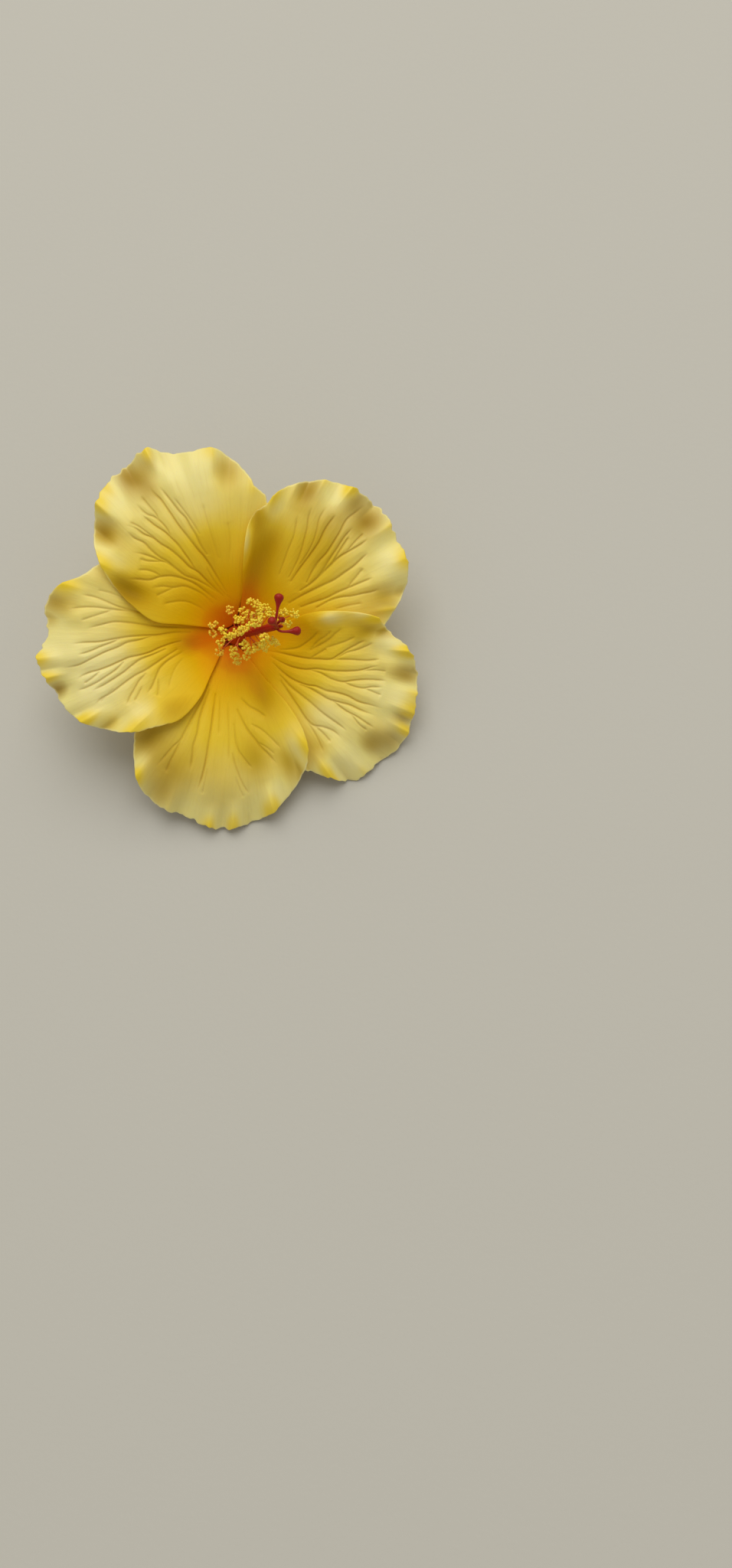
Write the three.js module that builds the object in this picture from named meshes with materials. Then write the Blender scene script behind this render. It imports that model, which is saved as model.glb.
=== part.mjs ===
// A yellow hibiscus blossom, picked with a short stub of its stalk and lying face up on a flat surface.
// It leans over, resting on the cut end of the stub and on the rims of its two lower petals.
//
// Everything is built about the flower's own axis first: +Z points out of its face, X and Y lie
// across it, and the petals spring from the origin. The finished flower is then leaned over and set
// down. Angles round the flower are in degrees, anticlockwise from +X seen from the front.
// All lengths are millimetres.
import * as THREE from 'three';

// How the flower lies
const LEAN_ANGLE = 22; // tilt of its axis from upright
const LEAN_TOWARDS = 293.21; // the way its face tips, between the two lower petals

// Corolla: a shallow funnel that crests and then turns back
const CREST_RADIUS = 56;
const CREST_HEIGHT = 22;
const FUNNEL_POWER = 2.2;
const TURN_BACK = 4; // how far the rim falls below the plain funnel curve
const TURN_BACK_RANGE = [58, 84];
const PETAL_THICKNESS = 0.9;
const PETAL_TWIST = 0.026; // rise across a petal, per degree, which lays each over the next
const PETAL_CENTRE = 42; // middle of a petal, from the flower's axis
const PETAL_RINGS = [0, 0.28, 0.52, 0.7, 0.83, 0.93, 1];
const PETAL_SPOKES = 60;

// The rim's frill
const FRILL_HEIGHT = 2.3;
const FRILL_RANGE = [40, 76];

// Each petal has the direction of its midrib, how far its upper side edge lifts, and an outline of
// [angle from the midrib, distance from the axis], from the claw round the rim and back.
const PETALS = [
  {
    name: 'petal_upper_right',
    direction: 45,
    lift: 2.5,
    outline: [
      [-30, 6], [-44, 18], [-49, 32], [-48, 46], [-43, 59], [-37, 65], [-29, 73.8], [-21, 77.4],
      [-13, 78], [-5, 80], [3, 78.2], [11, 74.8], [19, 70], [27, 61.5], [31, 54.5], [36, 49.5],
      [38.5, 42], [38.5, 30], [35, 18], [28, 6],
    ],
  },
  {
    name: 'petal_upper_left',
    direction: 120,
    lift: 2.2,
    outline: [
      [-30, 6], [-42, 16], [-47, 28], [-48, 42], [-44, 55.5], [-38, 60.5], [-32, 68.4], [-24, 75.5],
      [-16, 75.6], [-10, 77.8], [-5, 82.4], [2, 81], [10, 79], [17, 75.4], [25, 69], [32, 60.5],
      [38, 52.5], [44, 43], [50.5, 33], [49, 22], [30, 6],
    ],
  },
  {
    name: 'petal_left',
    direction: 189,
    lift: 2.5,
    outline: [
      [-30, 6], [-36, 18], [-39, 32], [-40, 46], [-37, 60], [-30, 65.5], [-24, 73.8], [-17, 77.8],
      [-9, 75.8], [-2, 80.5], [6, 78.2], [15, 75], [21, 71], [28, 64.5], [35, 56], [40, 49],
      [47.5, 41], [51.5, 30], [50, 20], [30, 6],
    ],
  },
  {
    name: 'petal_lower',
    direction: 262,
    lift: 2,
    outline: [
      [-30, 6], [-40, 18], [-44, 32], [-44, 46], [-38, 57], [-32, 65], [-24, 74], [-17, 77.6],
      [-8, 78], [2, 80.6], [11, 78.8], [19, 75], [27, 69.2], [34, 63.5], [39.5, 56.5], [43.5, 48],
      [45.5, 36], [43, 22], [30, 6],
    ],
  },
  {
    name: 'petal_right',
    direction: 331,
    lift: 4,
    outline: [
      [-30, 6], [-38, 18], [-42, 32], [-42, 46], [-36, 59], [-29, 68], [-22, 78], [-13, 79.8],
      [-5, 83], [3, 81.6], [11, 79], [18, 77.6], [25, 71.2], [30, 64.5], [37, 57], [42, 45],
      [46, 32], [43, 18], [30, 6],
    ],
  },
];

// Calyx and the stub of stalk behind the petals
const CALYX_CUP_RADIUS = 9;
const CALYX_LOBE_LENGTH = 11;
const CALYX_LOBE_AXIS = 10; // the lobes stand between the petals
const CALYX_CLEARANCE = 2.05; // from the middle of a petal's thickness
const CALYX_WALL = 0.8;
const CALYX_BASE_DEPTH = 3.4;
const CALYX_SPOKES = 50;
const CALYX_RINGS = [0, 0.25, 0.5, 0.75, 1];
const BRACTLET_COUNT = 6;
const BRACTLET_OFFSET = 36; // degrees from the middle of a lobe to the first bractlet
const BRACTLET_PATH = [[2.6, -0.5], [5.5, -0.6], [12, 3.2]]; // [from the axis, above the stalk's top]
const BRACTLET_STATIONS = [[0, 0.45], [0.3, 0.75], [0.65, 0.65], [0.9, 0.3], [1, 0.08]];
const BRACTLET_FLATNESS = 0.5;
const STALK_STATIONS = [[0, 1.9], [0.6, 1.9], [0.85, 2.3], [1, 2.1]]; // from the cut up to the calyx
const SEAT_GAP = 0.3; // between pieces that grow from one another

// Staminal column, its stamens and the style branches at its tip
const COLUMN_PATH = [[0, 0, -1.5], [0.2, 0, 8], [2.2, 0.4, 20], [6.8, 1.4, 33], [16, 3.7, 47]];
const COLUMN_STATIONS = [ // [share of its length, radius], spreading at the foot to meet the claws
  [0, 0.3], [0.03, 1.8], [0.05, 2.9], [0.075, 4], [0.1, 3.8], [0.14, 2.8], [0.2, 2], [0.28, 1.6],
  [0.4, 1.5], [0.52, 1.5], [0.64, 1.5], [0.76, 1.5], [0.88, 1.5], [0.97, 1.55], [1, 1.3],
];
const COLUMN_RADIUS = 1.6; // where the stamens stand
const FILAMENT_RADIUS = 0.3;
const FILAMENT_PITCH = 0.3; // how far it tips along the column, as a share of its reach
const SHORTEST_REACH = 7.5; // from the column's middle to the end of the anther
const ANTHER_RADIUS = 1.3;
const STAMENS = [ // [share of the column where it stands, where its anther lies in X and in Y]
  [0.3, -9.8, 0.7], [0.33, -9.7, 4.9], [0.36, -6.6, -3.4], [0.42, -6.1, 2.4], [0.5, -4.4, -0.9],
  [0.56, -2, -0.2], [0.62, 0, 1], [0.67, 2, 2], [0.72, 4, 3.1], [0.78, 6.9, 4.8], [0.83, 9.5, 5.6],
  [0.31, -2.2, 11.3], [0.38, 3.6, 10.8], [0.42, 0.9, 7.4], [0.48, 2.9, 6.4], [0.55, 7, 14],
  [0.5, 6.2, 9.3], [0.62, 9.8, 13.4], [0.57, 8.6, 9.2], [0.64, 11.2, 10.6], [0.7, 13.2, 12],
  [0.74, 11.2, 7.8], [0.78, 15, 9.4], [0.8, 20.3, 9.6], [0.81, 21.8, 5.6], [0.76, 19, 6.6],
  [0.87, 24.4, 9], [0.82, 12.2, -0.4], [0.77, 15, -1.9], [0.7, 12, -3.6], [0.68, 17.2, -3],
  [0.6, 9.6, -5.2], [0.54, 13, -5.6], [0.6, 3.9, -4], [0.64, 7, -6.4], [0.46, -1.2, -7],
  [0.4, -0.3, -9.4], [0.34, 1.2, -11.6], [0.5, 5, -9], [0.3, -7, -7.4],
];
const STYLE_RADIUS = 0.38;
const STYLE_RING = 0.95; // the feet of the style branches stand in a ring
const STYLE_SEAT = 0.6; // a slanting foot starts this far above the column's tip
// Each style branch leaves the ring by its bends, at [height above the column's tip, distance out from
// its middle], and ends at reach from the tip. The first one hooks back and hangs under the column.
const STYLES = [
  { reach: [-0.9, -0.3, -6.5], bends: [[1.2, 1.6], [0.1, 2.5], [-2.6, 2.7]], stigma: 1.2 },
  { reach: [2.9, 2.2, -4.6], bends: [[1.9, 2.2], [0.4, 3.6]], stigma: 1.2 },
  { reach: [1.2, 12.6, 2.5], bends: [[2, 2.2]], stigma: 1.9 },
  { reach: [-2.8, 2.8, 6.5], bends: [[2.4, 1.4]], stigma: 1.7 },
  { reach: [9.6, -1.7, 1.5], bends: [[2.2, 2.4]], stigma: 1.8 },
];

const material = (color, roughness) => new THREE.MeshStandardMaterial({ color, roughness, metalness: 0 });
const FINISHES = {
  petal: material(0xe6cf4e, 0.6),
  column: material(0xb0261a, 0.5),
  stamen: material(0xe6cc3c, 0.6),
  green: material(0x6f8f3a, 0.65),
};

const degrees = THREE.MathUtils.degToRad;
const ramp = THREE.MathUtils.smoothstep;

const flower = new THREE.Group();
const placed = {};

/** Adds one named piece, built in the flower's own frame. */
function add(name, geometry, finish) {
  const mesh = new THREE.Mesh(geometry, finish);
  mesh.name = name;
  flower.add(mesh);
  placed[name] = mesh;
}

/** Geometry from lists of points and triangles. */
function meshOf(points, triangles) {
  const geometry = new THREE.BufferGeometry();
  geometry.setFromPoints(points);
  geometry.setIndex(triangles.flat());
  geometry.computeVertexNormals();
  return geometry;
}

/**
 * A closed leaf: two skins of concentric rings that share the outermost one.
 * place(ring share, spoke, side) gives a point, with side 1 in front and -1 behind.
 */
function leafSolid(rings, spokes, place) {
  const points = [];
  const triangles = [];
  const skins = {};
  const outer = rings.length - 1;
  for (const side of [1, -1]) {
    skins[side] = rings.map((share, ring) => {
      if (ring === outer && side === -1) return skins[1][outer];
      const count = ring === 0 ? 1 : spokes;
      const start = points.length;
      for (let spoke = 0; spoke < count; spoke += 1) {
        points.push(place(share, spoke, ring === outer ? 0 : side));
      }
      return start;
    });
    for (let spoke = 0; spoke < spokes; spoke += 1) {
      const next = (spoke + 1) % spokes;
      const fan = [skins[side][0], skins[side][1] + spoke, skins[side][1] + next];
      triangles.push(side === 1 ? fan : fan.reverse());
      for (let ring = 1; ring < outer; ring += 1) {
        const [inner, beyond] = [skins[side][ring], skins[side][ring + 1]];
        const first = [inner + spoke, beyond + spoke, beyond + next];
        const second = [inner + spoke, beyond + next, inner + next];
        triangles.push(side === 1 ? first : first.reverse());
        triangles.push(side === 1 ? second : second.reverse());
      }
    }
  }
  return meshOf(points, triangles);
}

/** A round bar along a path, closed at both ends, with [share of length, radius] stations. */
function taperedBar(path, stations, sides, flatness = 1) {
  const points = [];
  const triangles = [];
  const frames = path.computeFrenetFrames(100, false);
  for (const [share, radius] of stations) {
    const centre = path.getPointAt(share);
    const slot = Math.round(share * 100);
    for (let side = 0; side < sides; side += 1) {
      const turn = (side / sides) * 2 * Math.PI;
      const across = frames.normals[slot].clone().multiplyScalar(Math.cos(turn) * radius);
      const deep = frames.binormals[slot].clone().multiplyScalar(Math.sin(turn) * radius * flatness);
      points.push(centre.clone().add(across).add(deep));
    }
  }
  const last = (stations.length - 1) * sides;
  const foot = points.push(path.getPointAt(stations[0][0])) - 1;
  const tip = points.push(path.getPointAt(stations[stations.length - 1][0])) - 1;
  for (let side = 0; side < sides; side += 1) {
    const next = (side + 1) % sides;
    triangles.push([foot, next, side], [tip, last + side, last + next]);
    for (let ring = 0; ring < last; ring += sides) {
      triangles.push([ring + side, ring + next, ring + sides + next]);
      triangles.push([ring + side, ring + sides + next, ring + sides + side]);
    }
  }
  return meshOf(points, triangles);
}

/** Height of the corolla's plain funnel at a distance from the axis. */
function funnel(radius) {
  const rise = 1 - Math.abs(1 - radius / CREST_RADIUS) ** FUNNEL_POWER;
  return CREST_HEIGHT * rise - TURN_BACK * ramp(radius, ...TURN_BACK_RANGE);
}

/** The frill, which neighbouring petals share: three waves round the rim, stronger further out. */
function frill(radius, angle) {
  const turn = degrees(angle);
  const waves = 0.8 * Math.sin(29 * turn + 1.4 * Math.sin(3 * turn) - radius / 14)
    + 0.5 * Math.sin(19 * turn + 1.1) + 0.35 * Math.sin(47 * turn + 0.5 + radius / 20);
  return FRILL_HEIGHT * waves * ramp(radius, ...FRILL_RANGE) ** 1.5;
}

/** Middle surface of a petal: funnel, frill, twist across the petal and the lift of its upper edge. */
function petalHeight(petal, radius, angle) {
  const fromMidrib = angle - petal.direction;
  const lift = petal.lift * ramp(fromMidrib, 22, 48) * ramp(radius, 16, 50);
  const drop = ramp(-fromMidrib, 28, 50) * ramp(radius, 16, 50);
  return funnel(radius) + frill(radius, angle) + PETAL_TWIST * fromMidrib + lift - drop;
}

function petalSolid(petal) {
  const corners = petal.outline.map(([angle, radius]) => {
    const turn = degrees(angle);
    return new THREE.Vector3(radius * Math.cos(turn), radius * Math.sin(turn), 0);
  });
  const rim = new THREE.CatmullRomCurve3(corners, true, 'catmullrom').getSpacedPoints(PETAL_SPOKES);
  const centre = new THREE.Vector3(PETAL_CENTRE, 0, 0);
  return leafSolid(PETAL_RINGS, PETAL_SPOKES, (share, spoke, side) => {
    const flat = centre.clone().lerp(rim[spoke], share);
    const radius = flat.length();
    const fromMidrib = THREE.MathUtils.radToDeg(Math.atan2(flat.y, flat.x));
    const angle = petal.direction + fromMidrib;
    const turn = degrees(angle);
    const height = petalHeight(petal, radius, angle) + (side * PETAL_THICKNESS) / 2;
    return new THREE.Vector3(radius * Math.cos(turn), radius * Math.sin(turn), height);
  });
}

/** The calyx: a thick-bottomed cup under the petals that parts into five pointed lobes. */
function calyxSolid() {
  return leafSolid(CALYX_RINGS, CALYX_SPOKES, (share, spoke, side) => {
    const turn = (spoke / CALYX_SPOKES) * 2 * Math.PI + degrees(CALYX_LOBE_AXIS);
    const fromLobe = Math.abs((((spoke / CALYX_SPOKES) * 5 + 0.5) % 1) - 0.5) * 2;
    const radius = share * (CALYX_CUP_RADIUS + CALYX_LOBE_LENGTH * (1 - fromLobe) ** 0.8);
    const wall = CALYX_WALL + CALYX_BASE_DEPTH * (1 - ramp(radius, 2.5, 9));
    const front = funnel(radius) - CALYX_CLEARANCE;
    const height = front - (1 - side) * 0.5 * wall;
    return new THREE.Vector3(radius * Math.cos(turn), radius * Math.sin(turn), height);
  });
}

for (const petal of PETALS) add(petal.name, petalSolid(petal), FINISHES.petal);
add('calyx', calyxSolid(), FINISHES.green);

const stalkTop = funnel(0) - CALYX_CLEARANCE - CALYX_WALL - CALYX_BASE_DEPTH - SEAT_GAP;

/** A narrow bractlet of the epicalyx, springing from under the calyx and curving outwards. */
function bractletSolid(index) {
  const turn = degrees(CALYX_LOBE_AXIS + BRACTLET_OFFSET + (360 / BRACTLET_COUNT) * index);
  const outward = new THREE.Vector3(Math.cos(turn), Math.sin(turn), 0);
  const [foot, bend, tip] = BRACTLET_PATH.map(([radius, height]) => {
    return outward.clone().multiplyScalar(radius).setZ(stalkTop + height);
  });
  const path = new THREE.QuadraticBezierCurve3(foot, bend, tip);
  return taperedBar(path, BRACTLET_STATIONS, 6, BRACTLET_FLATNESS);
}

for (let index = 0; index < BRACTLET_COUNT; index += 1) {
  add(`bractlet_${index + 1}`, bractletSolid(index), FINISHES.green);
}

const columnCurve = new THREE.CatmullRomCurve3(COLUMN_PATH.map((point) => new THREE.Vector3(...point)));
add('staminal_column', taperedBar(columnCurve, COLUMN_STATIONS, 12), FINISHES.column);

/** A stamen: a filament that stands out from the column and ends in its anther. */
function stamenSolid([share, x, y]) {
  const stand = columnCurve.getPointAt(share);
  const along = columnCurve.getTangentAt(share);
  const reach = new THREE.Vector3(x - stand.x, y - stand.y, 0);
  const square = (FILAMENT_PITCH * reach.length() - reach.dot(along)) / along.z;
  reach.z = Math.max(square, Math.sqrt(Math.max(0, SHORTEST_REACH ** 2 - reach.lengthSq())));
  const out = reach.clone().addScaledVector(along, -reach.dot(along)).normalize();
  const foot = stand.clone().addScaledVector(out, COLUMN_RADIUS + SEAT_GAP);
  const tip = stand.clone().add(reach);
  const bend = foot.clone().addScaledVector(out, 0.5 * foot.distanceTo(tip));
  const path = new THREE.QuadraticBezierCurve3(foot, bend, tip);
  const anther = (2 * ANTHER_RADIUS) / path.getLength();
  const filament = [0, 0.5, 1].map((part) => [part * (1 - anther), FILAMENT_RADIUS]);
  const head = [[1 - 0.8 * anther, 0.75 * ANTHER_RADIUS], [1 - 0.45 * anther, ANTHER_RADIUS],
    [1 - 0.1 * anther, 0.7 * ANTHER_RADIUS], [1, 0.25 * ANTHER_RADIUS]];
  return taperedBar(path, [...filament, ...head], 6);
}

STAMENS.forEach((stamen, index) => add(`stamen_${index + 1}`, stamenSolid(stamen), FINISHES.stamen));

/** A style branch, from its place in the ring at the column's tip out to its round stigma. */
function styleSolid({ reach, bends, stigma }, index) {
  const hub = columnCurve.getPointAt(1);
  const along = columnCurve.getTangentAt(1);
  const aside = new THREE.Vector3(1, 0, 0).addScaledVector(along, -along.x).normalize();
  aside.applyAxisAngle(along, degrees((360 / STYLES.length) * index));
  const foot = hub.clone().addScaledVector(along, STYLE_SEAT).addScaledVector(aside, STYLE_RING);
  const turns = bends.map(([up, out]) => {
    return hub.clone().addScaledVector(along, up).addScaledVector(aside, out);
  });
  const end = hub.clone().add(new THREE.Vector3(...reach));
  const path = new THREE.CatmullRomCurve3([foot, ...turns, end]);
  const head = (2 * stigma) / path.getLength();
  const branch = [0, 0.2, 0.4, 0.6, 0.8, 1].map((share) => [share * (1 - head), STYLE_RADIUS]);
  const knob = [[1 - 0.8 * head, 0.6 * stigma], [1 - 0.45 * head, stigma],
    [1 - 0.15 * head, 0.75 * stigma], [1, 0.25 * stigma]];
  return taperedBar(path, [...branch, ...knob], 8);
}

STYLES.forEach((style, index) => add(`style_${index + 1}`, styleSolid(style, index), FINISHES.column));

// Lean the flower over and set its lowest petal on the surface
const leanAxis = new THREE.Vector3(-Math.sin(degrees(LEAN_TOWARDS)), Math.cos(degrees(LEAN_TOWARDS)), 0);
flower.quaternion.setFromAxisAngle(leanAxis, degrees(LEAN_ANGLE));
flower.updateMatrixWorld(true);
const petalBox = new THREE.Box3();
for (const petal of PETALS) petalBox.expandByObject(placed[petal.name], true);

/** The stub of stalk, cut at a slant so that its end lies flat on the surface. */
function stalkSolid() {
  const up = new THREE.Vector3(0, 0, 1).applyQuaternion(flower.quaternion);
  const heightAt = (x, y, z) => new THREE.Vector3(x, y, z).applyQuaternion(flower.quaternion).z;
  const cut = stalkTop - (heightAt(0, 0, stalkTop) - petalBox.min.z) / up.z;
  const path = new THREE.LineCurve3(new THREE.Vector3(0, 0, cut), new THREE.Vector3(0, 0, stalkTop));
  const geometry = taperedBar(path, STALK_STATIONS, 12);
  const point = new THREE.Vector3();
  const spots = geometry.getAttribute('position');
  for (let index = 0; index < spots.count; index += 1) {
    point.fromBufferAttribute(spots, index);
    if (point.z < cut + 0.01) {
      spots.setZ(index, point.z + (petalBox.min.z - heightAt(point.x, point.y, point.z)) / up.z);
    }
  }
  return geometry;
}

add('stalk', stalkSolid(), FINISHES.green);

// Origin: on the surface, under the middle of the flower's box
flower.updateMatrixWorld(true);
const box = new THREE.Box3().setFromObject(flower, true);
const middle = box.getCenter(new THREE.Vector3());
flower.position.set(-middle.x, -middle.y, -box.min.z);

const object = new THREE.Group();
object.name = 'hibiscus_flower';
object.add(flower);

export default object;
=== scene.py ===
"""Looks of a yellow hibiscus blossom lying face up: embossed petals, stamens, styles and calyx.

Every piece is worked out in the flower's own frame, in millimetres: Z points out of its face, and the
petals spring from the origin. Flower.place leans it over and sets it down where the frame has it.
"""

import math

import bpy
import numpy as np
from bpy.props import FloatProperty, FloatVectorProperty, IntProperty, PointerProperty
from mathutils import Matrix, Vector


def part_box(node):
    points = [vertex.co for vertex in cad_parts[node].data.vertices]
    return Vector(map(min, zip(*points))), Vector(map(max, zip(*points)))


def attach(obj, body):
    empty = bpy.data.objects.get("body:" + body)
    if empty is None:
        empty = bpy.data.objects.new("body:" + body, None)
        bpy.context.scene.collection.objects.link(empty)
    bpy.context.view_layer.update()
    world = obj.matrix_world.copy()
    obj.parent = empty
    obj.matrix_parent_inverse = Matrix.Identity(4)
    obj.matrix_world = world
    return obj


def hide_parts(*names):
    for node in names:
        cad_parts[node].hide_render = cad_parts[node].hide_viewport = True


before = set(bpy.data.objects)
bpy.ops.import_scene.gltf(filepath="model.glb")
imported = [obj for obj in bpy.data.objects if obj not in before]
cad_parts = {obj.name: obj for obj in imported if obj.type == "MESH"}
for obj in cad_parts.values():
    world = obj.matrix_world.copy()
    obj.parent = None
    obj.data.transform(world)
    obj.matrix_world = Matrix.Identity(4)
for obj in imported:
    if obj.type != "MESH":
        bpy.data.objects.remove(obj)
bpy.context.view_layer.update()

bl_info = {
    "name": "Hibiscus Blossom",
    "version": (1, 0, 0),
    "blender": (4, 5, 0),
    "location": "3D View > Sidebar > Hibiscus",
    "description": "Makes the petals, column, stamens, styles and calyx of a yellow hibiscus blossom",
    "category": "Add Mesh",
}

MM = 0.001
FULL_TURN = 2 * math.pi

# How the flower lies
LEAN_ANGLE = 22  # degrees from upright
LEAN_TOWARDS = 293.21  # degrees round from +X

# Corolla: a shallow funnel that crests and then turns back, with a frilled rim
CREST_RADIUS = 56
CREST_HEIGHT = 22
FUNNEL_POWER = 2.2
TURN_BACK = 4
TURN_BACK_RANGE = (58, 84)
FRILL_HEIGHT = 0.69
FRILL_RANGE = (40, 76)
FRILL_POWER = 1.5
FRILL_WAVES = (29, 19, 47)  # to the turn
PETAL_TWIST = 0.026  # rise across a petal, per degree
PETAL_CENTRE = 42  # middle of a petal, from the flower's axis
EDGE_RANGE = (16, 50)  # distances over which a petal's side edges part from its middle
LIFT_ANGLES = (22, 48)  # from the midrib, where the upper side edge rises
DROP_ANGLES = (28, 50)  # and where the lower one drops, by a millimetre

# A petal's rings and spokes
PETAL_SPOKES = 560
FRONT_RINGS = 104
BACK_RINGS = 26
SHEET_SHARE = 0.978  # how far towards the rim the even rings go
RIM_SHARES = (0.985, 0.991, 0.996)
OUTLINE_STEPS = 24

# Creases
CREASE_STEPS = 8
CREASE_RANGE = (8, 28)  # distances over which creases deepen outside the throat
CREASE_START = 0.6  # strength at a crease's start, as a share of its full strength
CREASE_RISE = 0.2  # share of its length by which it has full strength
CREASE_FADE = 0.84  # share of its length where it starts to fade
VALLEY_WIDTH = 1.8  # half width of the dip round a crease

# Rim
RIM_BAND = 0.9  # how far in from the rim the edge rounds over
FOLD_LENGTH = 12  # how far in from the rim its folds reach
FOLD_POWER = 1.35  # how rounded a fold's crest is, from 1 for a ridge to 2 for a hill
RIM_CRIMP = 0.4  # how far the rim's small crimps stand in and out
CRIMP_WAVES = (31, 53, 83)  # to a petal's outline
CRIMP_RANGE = (35, 60)
RIM_SCALLOP = 0.1  # how far a fold pushes the rim outwards, as a share of its height

# Where a petal's colours go, in millimetres: the height of the folds and the distance in from the rim
# over which each comes and goes, and for the painted highlight along the rim the distance from the axis.
# The crests' yellow is partly the airbrushed paint and partly painted light shining through the thin
# folds; the hollows' tone is painted shade.
CREST_FOLDS, CREST_INSET = (0.1, 2.4), (1, 11)
HOLLOW_SHADE_TONE, HOLLOW_SHADE_FOLDS, HOLLOW_SHADE_INSET = 0.45, (0.3, 2.5), (2, 14)
RIM_HIGHLIGHT_TONE, RIM_HIGHLIGHT_INSET, RIM_HIGHLIGHT_REACH = 0.7, (0.2, 0.9), (38, 60)
COLOUR_REACH = 90  # distance that counts as 1 for the stops
COLOUR_STOPS = (0.09, 0.16, 0.25, 0.46, 0.78)  # throat, flush, inner, middle, outer
MOTTLE_SHIFT = 14  # how far the mottle, the pale patches and the deep ones move those stops
# The pale patches are painted light, partly the petals' own paler tone, and the deep ones painted shade
PALE_AND_LIT_SHIFT = 14
PAINTED_SHADE_SHIFT = 22
# Painted shade in the creases
GROOVE_SHADE = 0.42
STREAK_TINT = 0.45
PETAL_BUMP = 0.13
RED_SHEEN = (1, 0.7, 0.6, 1)  # tint of the gloss on the column and styles

# Each petal has its direction, the lift of its upper side edge, and an outline of
# (angle from the midrib, distance from the axis), from the claw round the rim and back
PETALS = {
    "petal_upper_right": (45, 2.5, [
        (-30, 6), (-44, 18), (-49, 32), (-48, 46), (-43, 59), (-37, 65), (-29, 73.8), (-21, 77.4),
        (-13, 78), (-5, 80), (3, 78.2), (11, 74.8), (19, 70), (27, 61.5), (31, 54.5), (36, 49.5),
        (38.5, 42), (38.5, 30), (35, 18), (28, 6)]),
    "petal_upper_left": (120, 2.2, [
        (-30, 6), (-42, 16), (-47, 28), (-48, 42), (-44, 55.5), (-38, 60.5), (-32, 68.4), (-24, 75.5),
        (-16, 75.6), (-10, 77.8), (-5, 82.4), (2, 81), (10, 79), (17, 75.4), (25, 69), (32, 60.5),
        (38, 52.5), (44, 43), (50.5, 33), (49, 22), (30, 6)]),
    "petal_left": (189, 2.5, [
        (-30, 6), (-36, 18), (-39, 32), (-40, 46), (-37, 60), (-30, 65.5), (-24, 73.8), (-17, 77.8),
        (-9, 75.8), (-2, 80.5), (6, 78.2), (15, 75), (21, 71), (28, 64.5), (35, 56), (40, 49),
        (47.5, 41), (51.5, 30), (50, 20), (30, 6)]),
    "petal_lower": (262, 2, [
        (-30, 6), (-40, 18), (-44, 32), (-44, 46), (-38, 57), (-32, 65), (-24, 74), (-17, 77.6),
        (-8, 78), (2, 80.6), (11, 78.8), (19, 75), (27, 69.2), (34, 63.5), (39.5, 56.5), (43.5, 48),
        (45.5, 36), (43, 22), (30, 6)]),
    "petal_right": (331, 4, [
        (-30, 6), (-38, 18), (-42, 32), (-42, 46), (-36, 59), (-29, 68), (-22, 78), (-13, 79.8),
        (-5, 83), (3, 81.6), (11, 79), (18, 77.6), (25, 71.2), (30, 64.5), (37, 57), (42, 45),
        (46, 32), (43, 18), (30, 6)]),
}
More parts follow.
